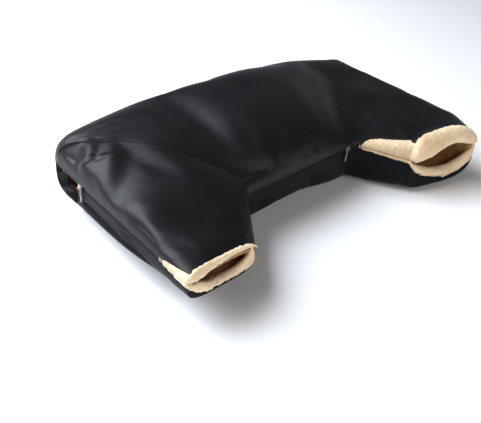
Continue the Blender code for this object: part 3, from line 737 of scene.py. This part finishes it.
def fleece_material(name, deep, light, sheen, slit_shade):
    """Fleece: short matted pile in cream, with tufts of a deeper tone, very rough and with a soft sheen.

    Both tones are scaled by the last argument behind the mouths, along the open slits: painted shade, darker where the
    slit fleece faces up into the lamps."""
    look = {"Roughness": 0.95, "Specular IOR Level": 0.1, "Sheen Weight": sheen, "Sheen Roughness": 0.6}
    material, tree, shader = new_material(name, look)
    place = {"Vector": node(tree, "TexCoord").outputs["Object"]}
    tufts = node(tree, "TexNoise", {"Scale": 210, "Detail": 5, "Roughness": 0.65}, place).outputs["Fac"]
    cloud = node(tree, "TexNoise", {"Scale": 26, "Detail": 3}, place).outputs["Fac"]
    fine = node(tree, "Math", {1: 0.5}, {0: tufts}, operation="MULTIPLY")
    mix = node(tree, "Math", {1: 0.6}, {0: cloud, 2: fine.outputs[0]}, operation="MULTIPLY_ADD")
    tones = ramp(tree, mix.outputs[0], (0.36, deep), (0.68, light))
    axes = node(tree, "SeparateXYZ", sources=place)
    reach = {"From Min": SLIT_SHADE_FROM, "From Max": SLIT_SHADE_FULL, "To Min": 1, "To Max": slit_shade}
    tone = node(tree, "MapRange", reach, {"Value": axes.outputs["Y"]}, interpolation_type="SMOOTHSTEP")
    scaled = {0: tones, "Scale": tone.outputs["Result"]}
    toned = node(tree, "VectorMath", sources=scaled, operation="SCALE")
    pile = node(tree, "Bump", {"Strength": 0.6, "Distance": 0.0012}, {"Height": tufts})
    finished(tree, shader, toned.outputs["Vector"], pile)
    return material


# The cuffs' fleece is painted 0.76 as bright along the open slits: painted shade.
fleece = fleece_material("fleece", (0.68, 0.44, 0.22), (0.88, 0.70, 0.47), 0.35, 0.76)
# The lining is the same cream fleece, painted dark brown and with little sheen: painted shade for the inside of the
# sleeves.
shaded_fleece = fleece_material("shaded_fleece", (0.24, 0.108, 0.034), (0.41, 0.222, 0.088), 0.06, 1.0)
for half in (UPPER, LOWER):
    s = stations(LINING_STEPS[0])
    on_fold = np.minimum(s, 1 - s) > FOLD_START
    low = np.full_like(s, PARTING_GAP / 2)
    cuts = low, np.where(on_fold, low, np.maximum(low, hole_rise(half, s)))
    back = half_grid(half, s, LINING_STEPS[1], LINING_OUTER, cuts)
    front = half_grid(half, s, LINING_STEPS[1], LINING_INNER, cuts)
    shared = panels[half["name"]]
    columns = (np.linspace(0, 1, grid.shape[1]) for grid in (shared["lift"], back))
    lift = resampled(resampled(shared["lift"], *columns, axis=1), shared["s"], s)
    lift = np.minimum(lift + WADDING_GIVES, 0)
    normal = outward(half, back)
    back += normal * lift[..., None]
    front += normal * (lift + PILE_HEIGHT * waves(front, PILE_SIZE, seed=11, count=PILE_WAVES))[..., None]
    name = half["name"]
    lining = link(f"{name}_fleece", panel_mesh(f"{name}_fleece", half, back, front), shaded_fleece)
    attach(lining, f"{name}_half")
    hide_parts(f"{name}_lining")

# Mouths and slits
# Both sleeves end in cream fleece: the lining turned out over the wadding. The upper lip is a fat roll over the
# opening, the lower one thinner, behind a black hem of satin, and both run on as facings along the open slits.
LIP_STEPS = (72, 28)
CORNER_STEPS = 9
END_LEAST = 0.02
CURVE_STEPS = 401
CURVE_WINDOW = 41
CHORD_ENDS = (0.004, 0.996)
FACING_PROUD = 0.0020
FACING_BACK = 0.0070
FACING_FLUSH = 0.030
FACING_STARTS = 0.15
FACING_ROUND = (0.7, 0.6)
INNER_FACING_STOPS = 0.0095
SIDE_FACING_STOPS = 0.0065
FACING_STEPS = (52, 26)
ROLL_OVER_EDGE = 0.0006
ROLL_BEHIND = 0.006
ROLL_ROUNDS_BY = 0.003
TAPER_FROM = 0.6
LIP_BEHIND = 0.007
LIP_LEAST = 0.0030
LIP_SPAN = (0.01, 0.97)
LIP_RAGGED = 0.0034
RAGGED_SIZE = 0.008
# How much of their swell the lower lip and the hem keep at both ends
LIP_ENDS = 0.45
HEM_ENDS = 0.3
HEM_LEAST = 0.0008
HEM_TUCKED = 0.0015
HEM_STEPS = 15
TUFT_HEIGHT = 0.0004
TUFTS_FINER = 2.3
FINE_STEPS = 4001
MOUTHS = {
    # roll, lip and edge are curves across the mouth, (share of the chord, height over it)
    "left": {
        "s": 0.0,
        "cut": ROLL_STARTS[0],
        "roll": (
            (0, 0.0090), (0.08, 0.0110), (0.25, 0.0130), (0.45, 0.0120), (0.67, 0.0090), (0.82, 0.0020), (1, 0.0004),
        ),
        "lip": (
            (0, 0.0170), (0.06, 0.0120), (0.13, -0.0030), (0.3, -0.0105), (0.48, -0.0125), (0.72, -0.0105),
            (0.86, -0.0030), (1, -0.001),
        ),
        "edge": ((0, -0.0300), (0.10, -0.0260), (0.3, -0.0240), (0.76, -0.0230), (0.9, -0.0165), (1, -0.0055)),
        "roll_ends": (0.010, 0.93),
        "open": (0.07, 0.86),
        "roll_front": 0.0042,
        "lip_front": 0.0042,
        "hem_front": 0.0026,
        "roll_from": (0.0040, 0.0108),
        "taper": 0.15,
    },
    "right": {
        "s": 1.0,
        "cut": ROLL_STARTS[1],
        "roll": (
            (0, -0.0020), (0.08, -0.0050), (0.27, -0.0020), (0.36, 0.0050), (0.47, 0.0115), (0.58, 0.0130),
            (0.70, 0.0105), (0.85, 0.0035), (1, -0.0020),
        ),
        "lip": (
            (0, -0.0040), (0.10, -0.0120), (0.20, -0.0170), (0.33, -0.0240), (0.48, -0.0275), (0.63, -0.0270),
            (0.79, -0.0190), (0.92, -0.0090), (1, -0.0020),
        ),
        "edge": (
            (0, -0.0090), (0.06, -0.0200), (0.13, -0.0290), (0.29, -0.0380), (0.44, -0.0440), (0.56, -0.0495),
            (0.73, -0.0475), (0.86, -0.0410), (0.95, -0.0350), (1, -0.0300),
        ),
        "roll_ends": (0.0, 0.97),
        "open": (0.04, 0.93),
        "roll_front": 0.0120,
        "lip_front": 0.0080,
        "hem_front": 0.0060,
        "roll_from": (0.0288, 0.0068),
        "taper": 0.15,
    },
}


def over_chord(half, s, u):
    """Points of a half's section at station s over the share u of its chord, by the panel's own superellipses."""
    f = {key: value[0] for key, value in section_at(half, np.array([s]), 0.0).items()}
    span = f["inner_reach"] + f["outer_reach"]
    u = np.asarray(u, float)
    near = u * span <= f["inner_reach"]
    run = np.where(near, u, 1 - u) * span
    reach = np.where(near, f["inner_reach"], f["outer_reach"])
    fullness = np.where(near, fullness_at(half, "inner", np.array(s)), fullness_at(half, "outer", np.array(s)))
    angle = np.arccos(np.clip(1 - run / reach, 0, 1) ** (1 / fullness))
    point = f["inner"] + f["across"] * (u * span)[..., None]
    point[..., 2] += half["sign"] * f["height"] * np.sin(angle) ** fullness
    return point


def mouth_axes(side):
    """A mouth's two rims, and the way out of the sleeve, level and square to the chord between them."""
    f = section_at(UPPER, np.array([MOUTHS[side]["s"]]), 0.0)
    inner, outer = f["inner"][0], f["outer"][0]
    chord = outer - inner
    return inner, outer, unit(np.array([chord[1], -chord[0], 0]) * math.copysign(1, chord[0]))


def in_mouth(side, u, height, front=0.0):
    """A point from its share across a mouth, its height over the chord and its way in front of it."""
    inner, outer, forward = mouth_axes(side)
    u, height, front = (np.asarray(value, float)[..., None] for value in (u, height, front))
    return inner + (outer - inner) * u + np.array([0, 0, 1]) * height + forward * front


def curve_through(points, u):
    """A smooth curve through a few (share, height) pairs: straight pieces averaged over a short window."""
    share, height = np.array(points, float).T
    fine = np.linspace(0, 1, CURVE_STEPS)
    window = np.hanning(CURVE_WINDOW) / np.hanning(CURVE_WINDOW).sum()
    drawn_out = np.pad(np.interp(fine, share, height), CURVE_WINDOW // 2, mode="edge")
    soft = np.convolve(drawn_out, window, mode="valid")
    return np.interp(u, fine, soft)


def shell_under(side, u):
    """How far the lower half's own section lies over the chord of a mouth, a negative height."""
    return over_chord(LOWER, MOUTHS[side]["s"], np.clip(u, *CHORD_ENDS))[:, 2] - in_mouth(side, u, 0.0)[:, 2]


AROUND = turn(LIP_STEPS[1])


def lip_rings(outer, inner, forward, front, back):
    """Rings between two edges of a lip: in front and behind each swells as half an ellipse."""
    middle, half_way = (outer + inner) / 2, (outer - inner) / 2
    long_way = unit(half_way)
    swell_way = unit(forward - long_way * (long_way @ forward)[:, None])
    deep, behind = np.maximum(np.sin(AROUND), 0), np.minimum(np.sin(AROUND), 0)
    swell = np.asarray(front)[:, None] * deep + np.asarray(back)[:, None] * behind
    return middle[:, None] + half_way[:, None] * np.cos(AROUND)[None, :, None] + swell_way[:, None] * swell[..., None]


def facing_rings(half, edge, s):
    """Rings of a slit's fleece, from the panel's edge down to the parting line.

    They swell out as a sine, a little at the slit's start and fully once FACING_FLUSH of the outline is past."""
    top, low = facing_height(half, edge, s), PARTING_GAP / 2
    grown = np.clip(FACING_STARTS + np.abs(s - s[0]) / FACING_FLUSH, 0, 1)[:, None] if edge == "outer" else 1.0
    rings = []
    for angle in AROUND:
        height = low + (top - low) * (1 + math.cos(angle)) / 2
        if math.sin(angle) > 0:
            proud = rim_point(half, edge, s, height, -FACING_PROUD * math.sin(angle) ** FACING_ROUND[0])
            flush = rim_point(half, edge, s, height, 0.0)
            rings.append(flush + (proud - flush) * grown)
        else:
            rings.append(rim_point(half, edge, s, height, FACING_BACK * (-math.sin(angle)) ** FACING_ROUND[1]))
    return np.stack(rings, axis=1)


def round_corner(facing, lip, forward):
    """Rings that turn from the end of a facing into a lip: quadratic curves whose middle point lies level with
    the lip's ring, straight ahead of the facing's."""
    ahead = facing + forward * ((lip - facing) @ forward)[:, None]
    t = np.linspace(0, 1, CORNER_STEPS)[1:-1, None, None]
    return bend(facing, ahead, lip, t)


def rounded_end(lip, sideways, reach):
    """Rings that close a lip's free end: each is smaller and further out, as on a quarter of a ball."""
    angle = np.linspace(0, math.pi / 2, CORNER_STEPS)[1:, None, None]
    middle = lip.mean(axis=0)
    smaller = (lip - middle)[None] * np.maximum(np.cos(angle), END_LEAST)
    return middle + smaller + sideways * (reach * np.sin(angle))


def tube(name, rings, material):
    """A closed piece through a row of rings, or many such pieces in one mesh, with a flat cap on each end.

    The faces are turned outwards, which is tested on the first piece."""
    rows = rings.reshape(-1, *rings.shape[-3:])
    pieces, count, around = rows.shape[:3]
    ring = np.arange(around)
    low, after = np.arange(count - 1)[:, None] * around, (ring + 1) % around
    quads = np.stack([low + ring, low + after, low + around + after, low + around + ring], axis=-1).reshape(-1, 4)
    caps = np.stack([ring[::-1], ring + (count - 1) * around])
    corners = rows[0].reshape(-1, 3)[quads]
    middle = np.repeat(rows[0].mean(axis=1), around, axis=0)[: len(quads)]
    normal = np.cross(corners[:, 2] - corners[:, 0], corners[:, 3] - corners[:, 1])
    if np.einsum("ij,ij->", normal, corners.mean(axis=1) - middle) < 0:
        quads, caps = quads[:, ::-1], caps[:, ::-1]
    start = (np.arange(pieces) * count * around)[:, None, None]
    faces = (start + quads).reshape(-1, 4).tolist() + np.swapaxes(start + caps, 0, 1).reshape(-1, around).tolist()
    return link(name, new_mesh(name, rows, faces), material)


def tufted(rings, amount, size, seed):
    """Rings pushed out from their middles by smooth noise, as matted pile stands up unevenly."""
    way = unit(rings - rings.mean(axis=1, keepdims=True))
    noise = waves(rings, size, seed, PILE_WAVES) + 0.5 * waves(rings, size / TUFTS_FINER, seed + 1, PILE_WAVES)
    return rings + way * (amount * noise)[..., None]


share = np.linspace(0, 1, LIP_STEPS[0])
bulge = np.sin(math.pi * share) ** 0.5
inner_slit = np.linspace(INNER_SLIT_START, 1 - INNER_FACING_STOPS, FACING_STEPS[0])
side_slit = np.linspace(SLIT_END, SIDE_FACING_STOPS, FACING_STEPS[1])
over = np.linspace(0, 1, FINE_STEPS)
for side, mouth in MOUTHS.items():
    _, _, forward = mouth_axes(side)
    chord = unit(in_mouth(side, 1.0, 0.0) - in_mouth(side, 0.0, 0.0))
    # the roll, from the panel's edge down to its own lower edge
    arch = over_chord(UPPER, mouth["cut"], over)
    rise = arch[:, 2] - (arch[0, 2] * (1 - over) + arch[-1, 2] * over)
    first = np.interp(mouth["roll_from"][0], rise[: FINE_STEPS // 2], over[: FINE_STEPS // 2])
    last = np.interp(mouth["roll_from"][1], rise[: FINE_STEPS // 2 : -1], over[: FINE_STEPS // 2 : -1])
    first, last = max(first, mouth["roll_ends"][0]), min(last, mouth["roll_ends"][1])
    top = over_chord(UPPER, mouth["cut"], first + (last - first) * share) + np.array([0, 0, ROLL_OVER_EDGE])
    across = mouth["open"][0] + (mouth["open"][1] - mouth["open"][0]) * share
    low = in_mouth(side, across, curve_through(mouth["roll"], across))
    narrow = 1 - mouth["taper"] * np.clip((share - TAPER_FROM) / (1 - TAPER_FROM), 0, 1) ** 1.5
    roll = lip_rings(top, low, forward, mouth["roll_front"] * narrow, np.full_like(share, ROLL_BEHIND))
    # the lower lip, from its own upper edge down to the hem
    wide = LIP_SPAN[0] + LIP_SPAN[1] * share
    ragged = LIP_RAGGED * np.abs(waves(in_mouth(side, wide, 0.0), RAGGED_SIZE, seed=41, count=12)) ** 1.5
    edge = np.maximum(curve_through(mouth["edge"], wide) + ragged * bulge, shell_under(side, wide) + HEM_LEAST)
    rise = np.maximum(curve_through(mouth["lip"], across), curve_through(mouth["edge"], across) + LIP_LEAST)
    swell = mouth["lip_front"] * (LIP_ENDS + (1 - LIP_ENDS) * bulge)
    lip = lip_rings(
        in_mouth(side, across, rise), in_mouth(side, wide, edge), forward, swell, np.full_like(share, LIP_BEHIND)
    )
    for half, rings, seed in ((UPPER, roll, 21), (LOWER, lip, 23)):
        name = f"{side}_cuff_{half['name']}"
        if half is LOWER:
            rings = rings[:, (LIP_STEPS[1] // 2 - np.arange(LIP_STEPS[1])) % LIP_STEPS[1]]
        slit = facing_rings(half, "outer", side_slit if side == "left" else 1 - side_slit)
        pieces = [rings, round_corner(slit[-1], rings[-1], forward)[::-1], slit[::-1]]
        nodes = [name, f"{side}_side_facing_{half['name']}"]
        if side == "right":
            slit = facing_rings(half, "inner", inner_slit)
            pieces = [slit, round_corner(slit[-1], rings[0], forward)] + pieces
            nodes.append(f"inner_slit_facing_{half['name']}")
        else:
            pieces = [rounded_end(rings[0], -chord, ROLL_ROUNDS_BY)[::-1]] + pieces
        rings = tufted(np.concatenate(pieces), TUFT_HEIGHT, PILE_SIZE, seed)
        cuff = tube(name + "_roll", rings, fleece)
        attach(cuff, f"{half['name']}_half")
        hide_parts(*nodes)
    # the hem, a black fold of satin that swells forward between the panel's edge and the lip, in the satin copy that
    # reflects less: painted shade
    under = shell_under(side, share)
    edge = np.maximum(curve_through(mouth["edge"], share), under + HEM_LEAST)
    turned = np.linspace(0, math.pi, HEM_STEPS)
    part = (1 - np.cos(turned)) / 2
    height = under[:, None] * (1 - part) + (edge + HEM_TUCKED)[:, None] * part
    reach = mouth["hem_front"] * (HEM_ENDS + (1 - HEM_ENDS) * bulge)[:, None] * np.sin(turned) ** 0.8
    places = np.broadcast_to(share[:, None], height.shape)
    face = in_mouth(side, places, height, reach)
    back = in_mouth(side, places, height, -HEM_LEAST)[:, ::-1][:, 1:-1]
    hem = tube(f"{side}_mouth_hem", np.concatenate([face, back], axis=1), shaded_satin)
    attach(hem, "lower_half")

# Bindings of the handlebar's openings
# A narrow satin ribbon folded over the rims of satin, wadding and fleece, a little fuller at its outer edge.
BINDING_THICKNESS = 0.0012
BINDING_GAP = 0.0003
BINDING_OVERHANG = 0.0006
BINDING_FULLER = 0.0004
BINDING_FULL_WIDTH = 0.0015
BINDING_TURN = 1.48
BINDING_STEPS = (81, 9)
for half in (UPPER, LOWER):
    for side in ("left", "right"):
        s = HOLE_CENTRE + HOLE_HALF * np.sin(np.linspace(-BINDING_TURN, BINDING_TURN, BINDING_STEPS[0]))
        s = s if side == "left" else 1 - s[::-1]
        far = hole_rise(half, s) - BINDING_GAP
        inwards = np.linspace(-BINDING_OVERHANG, LINING_INNER, BINDING_STEPS[1])
        fuller = BINDING_FULLER * np.exp(-(((inwards + BINDING_OVERHANG) / BINDING_FULL_WIDTH) ** 2))
        ring = [(inset, more) for inset, more in zip(inwards, fuller)]
        ring += [(inset, -BINDING_THICKNESS - more) for inset, more in zip(inwards[::-1], fuller[::-1])]
        rings = [rim_point(half, "outer", s, np.maximum(far + more, BINDING_GAP), inset) for inset, more in ring]
        name = f"{side}_bar_binding_{half['name']}"
        ribbon = tube(name + "_ribbon", np.stack(rings, axis=1), satin)
        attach(ribbon, f"{half['name']}_half")
        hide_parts(name)

# Fold
# Behind the handlebar a band of the same satin runs over the fold and joins both panels along its two edges.
FOLD_BAND_HALF = 0.010
FOLD_BAND_PROUD = 0.0007
FOLD_BAND_THICKNESS = 0.0005
FOLD_BAND_LIES_DOWN = 0.9
FOLD_BAND_FLATNESS = 8
FOLD_BAND_STEPS = (220, 9)
fold_s = np.linspace(FOLD_START, 1 - FOLD_START, FOLD_BAND_STEPS[0])
levels = np.linspace(0, 1, FOLD_BAND_STEPS[1])
band_rows = []
for half, order in ((LOWER, levels[::-1]), (UPPER, levels)):
    for level in order:
        height = PARTING_GAP / 2 + (FOLD_BAND_HALF - PARTING_GAP / 2) * level
        proud = FOLD_BAND_PROUD * (1 - FOLD_BAND_LIES_DOWN * level**FOLD_BAND_FLATNESS)
        band_rows.append(rim_point(half, "outer", fold_s, height, -proud))
band = np.stack(band_rows, axis=1)
under = band + np.array([0, -FOLD_BAND_THICKNESS, 0])
fold_band = tube("fold_band", np.concatenate([band, under[:, ::-1]], axis=1), satin)
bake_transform(fold_band)

# Zips
# Three nylon zips, one half of each sewn under either panel's edge: woven tape, helical coil, stops and box of
# metal. The sides have their sliders parked at the bar, the front one at the crotch.
ZIP_END_GAP = 0.0015
HALF_POST_GAP = 0.0007
COIL_WIDTH = 0.0015
TAPE_WIDTH = 0.011
TAPE_OUTER = 0.0015
TAPE_INNER = 0.0021
COIL_PITCH = 0.0013
COIL_WIRE = 0.00024
COIL_SEAT = 0.0006
COIL_DEPTH = 0.00055
COIL_TURN_POINTS = 9
COIL_SIDES = 5
TAPE_STEPS = (160, 8)
BOX_LENGTH = 0.006
STOP_LENGTH = 0.0025
RUNNING_GAP = 0.0003
FRONT_ZIP_END = INNER_SLIT_START - ZIP_END_GAP / INNER_LENGTH
SIDE_ZIP_LOW = SLIT_END + ZIP_END_GAP / OUTER_LENGTH
SIDE_ZIP_TOP = HOLE_CENTRE - HOLE_HALF - ZIP_END_GAP / OUTER_LENGTH
ZIPS = {
    "left": ("outer", SIDE_ZIP_LOW, SIDE_ZIP_TOP, OUTER_LENGTH),
    "right": ("outer", 1 - SIDE_ZIP_LOW, 1 - SIDE_ZIP_TOP, OUTER_LENGTH),
    "front": ("inner", ZIP_END_GAP / INNER_LENGTH, FRONT_ZIP_END, INNER_LENGTH),
}


def patterned(name, low, high, scale, roughness, metallic, bump, pattern="Noise"):
    """A procedural finish: two tones mixed by noise or by fine waves, with the same pattern as bump."""
    material, tree, shader = new_material(name, {"Metallic": metallic})
    place = {"Vector": node(tree, "TexCoord").outputs["Object"]}
    texture = node(tree, "Tex" + pattern, {"Scale": scale, "Detail": 4}, place).outputs["Fac"]
    tones = ramp(tree, texture, (0.3, low), (0.7, high))
    rough = node(tree, "MapRange", {"To Min": roughness[0], "To Max": roughness[1]}, {"Value": texture})
    relief = node(tree, "Bump", {"Strength": bump, "Distance": 0.0002}, {"Height": texture})
    finished(tree, shader, tones, relief, rough)
    return material


tape_cloth = patterned("tape_cloth", (0.010, 0.010, 0.011), (0.022, 0.022, 0.024), 700, (0.75, 0.9), 0, 0.6, "Wave")
coil_nylon = patterned("coil_nylon", (0.020, 0.020, 0.022), (0.034, 0.034, 0.037), 900, (0.35, 0.5), 0, 0.2)
worn_metal = patterned("worn_metal", (0.34, 0.33, 0.32), (0.56, 0.55, 0.53), 420, (0.28, 0.45), 1, 0.3)
tab_metal = patterned("tab_metal", (0.16, 0.16, 0.17), (0.30, 0.30, 0.31), 300, (0.42, 0.55), 1, 0.3)
thread = patterned("black_thread", (0.012, 0.012, 0.014), (0.030, 0.030, 0.034), 2500, (0.5, 0.7), 0, 0.4)


def coil_rings(half, edge, start, end, length, offset):
    """A nylon coil as a helix about its seat: rings of the wire, square to the wire's own way.

    The turns' half height and half depth are the seat's, and one half's turns lie half a pitch on."""
    run = abs(end - start) * length
    turns = int(run / COIL_PITCH)
    theta = np.linspace(0, 2 * math.pi * turns, turns * COIL_TURN_POINTS + 1) + offset
    s = start + (end - start) * np.linspace(0, 1, len(theta))
    height = HALF_POST_GAP + COIL_WIDTH / 2
    seat = rim_point(half, edge, s, height, COIL_SEAT)
    out = unit(rim_point(half, edge, s, height, 0.0) - seat)
    up = np.array([0, 0, 1.0])
    wide, deep = COIL_WIDTH / 2 - COIL_WIRE, COIL_DEPTH - COIL_WIRE
    line = seat + up * (wide * np.sin(theta))[:, None] + out * (deep * np.cos(theta))[:, None]
    way = unit(np.gradient(line, axis=0))
    first = out * np.cos(theta)[:, None] + up * np.sin(theta)[:, None]
    first = unit(first - way * np.einsum("ij,ij->i", first, way)[:, None])
    second = np.cross(way, first)
    around = turn(COIL_SIDES)[:, None]
    return line[:, None] + COIL_WIRE * (first[:, None] * np.cos(around) + second[:, None] * np.sin(around))


for label, (edge, start, end, length) in ZIPS.items():
    way = math.copysign(1, end - start)
    coil_start = start + way * (BOX_LENGTH + RUNNING_GAP) / length
    coil_end = end - way * (STOP_LENGTH + RUNNING_GAP) / length
    for half in (UPPER, LOWER):
        body = f"{half['name']}_half"
        s = np.linspace(min(start, end), max(start, end), TAPE_STEPS[0])
        heights = np.linspace(HALF_POST_GAP, HALF_POST_GAP + TAPE_WIDTH, TAPE_STEPS[1])
        top, back = (
            np.stack([rim_point(half, edge, s, h, inset) for h in row], axis=1)
            for row, inset in ((heights, TAPE_OUTER), (heights[::-1], TAPE_INNER))
        )
        name = f"{label}_zip_tape_{half['name']}"
        tape = tube(name + "_weave", np.concatenate([top, back], axis=1), tape_cloth)
        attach(tape, body)
        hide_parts(name)
        name = f"{label}_zip_coil_{half['name']}"
        rings = coil_rings(half, edge, coil_start, coil_end, length, 0 if half is UPPER else math.pi)
        coil = tube(name + "_helix", rings, coil_nylon)
        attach(coil, body)
        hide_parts(name)
for name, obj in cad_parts.items():
    finish = None
    if any(part in name for part in ("zip_stop", "zip_pin", "zip_box", "zip_slider")):
        finish = worn_metal
    elif "zip_puller" in name:
        finish = tab_metal
    if finish:
        for slot in obj.material_slots:
            slot.material = finish

# Stitching
# Black thread sews each panel's edge down, two millimetres from the zips, slits and bar openings.
STITCH_LENGTH = 0.0028
STITCH_PITCH = 0.0040
STITCH_RADIUS = 0.00024
STITCH_FROM_EDGE = 0.0022
# Along each stitch: share of its length, share of its radius, how far it stands out in radii
STITCH_FORM = np.array([(0, 0.35, -0.9), (0.12, 0.85, 0.2), (0.5, 1, 0.6), (0.88, 0.85, 0.2), (1, 0.35, -0.9)])
STITCH_STARTS = 0.15
STITCH_SIDES = 5


def stitch_points(line, out):
    """Rings of separate stitches along a line: each dips at both ends like half an ellipse."""
    lengths = lengths_along(line)
    count = int(lengths[-1] / STITCH_PITCH)
    begin = (np.arange(count) + STITCH_STARTS) * STITCH_PITCH
    places = begin[:, None] + STITCH_LENGTH * STITCH_FORM[:, 0]
    line_at, out_at = read_off(places, lengths, line), read_off(places, lengths, out)
    side = np.cross(unit(line_at[:, -1:] - line_at[:, :1]), out_at)
    around = turn(STITCH_SIDES)[:, None]
    radius = STITCH_RADIUS * STITCH_FORM[:, 1, None, None]
    middle = line_at + out_at * (STITCH_RADIUS * STITCH_FORM[:, 2])[:, None]
    return middle[:, :, None] + radius * (out_at[:, :, None] * np.cos(around) + side[:, :, None] * np.sin(around))


for half in (UPPER, LOWER):
    shared = panels[half["name"]]
    grid, normal, s = shared["grid"], shared["normal"], shared["s"]
    i = np.arange(len(s))
    rows = []
    for edge in ("inner", "outer"):
        walk = grid if edge == "inner" else grid[:, ::-1]
        face = normal if edge == "inner" else normal[:, ::-1]
        lengths = lengths_along(walk, 1)
        index = np.array([np.interp(STITCH_FROM_EDGE, way, np.arange(len(way))) for way in lengths])
        low = np.floor(index).astype(int)
        t = (index - low)[:, None]
        line = walk[i, low] * (1 - t) + walk[i, low + 1] * t
        out = unit(face[i, low] * (1 - t) + face[i, low + 1] * t)
        sides = (s <= FOLD_START, s >= 1 - FOLD_START)
        for keep in sides if edge == "outer" else (s >= 0,):
            rows.append(stitch_points(line[keep], out[keep]))
    stitches = tube(f"{half['name']}_edge_stitches", np.concatenate(rows), thread)
    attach(stitches, f"{half['name']}_half")
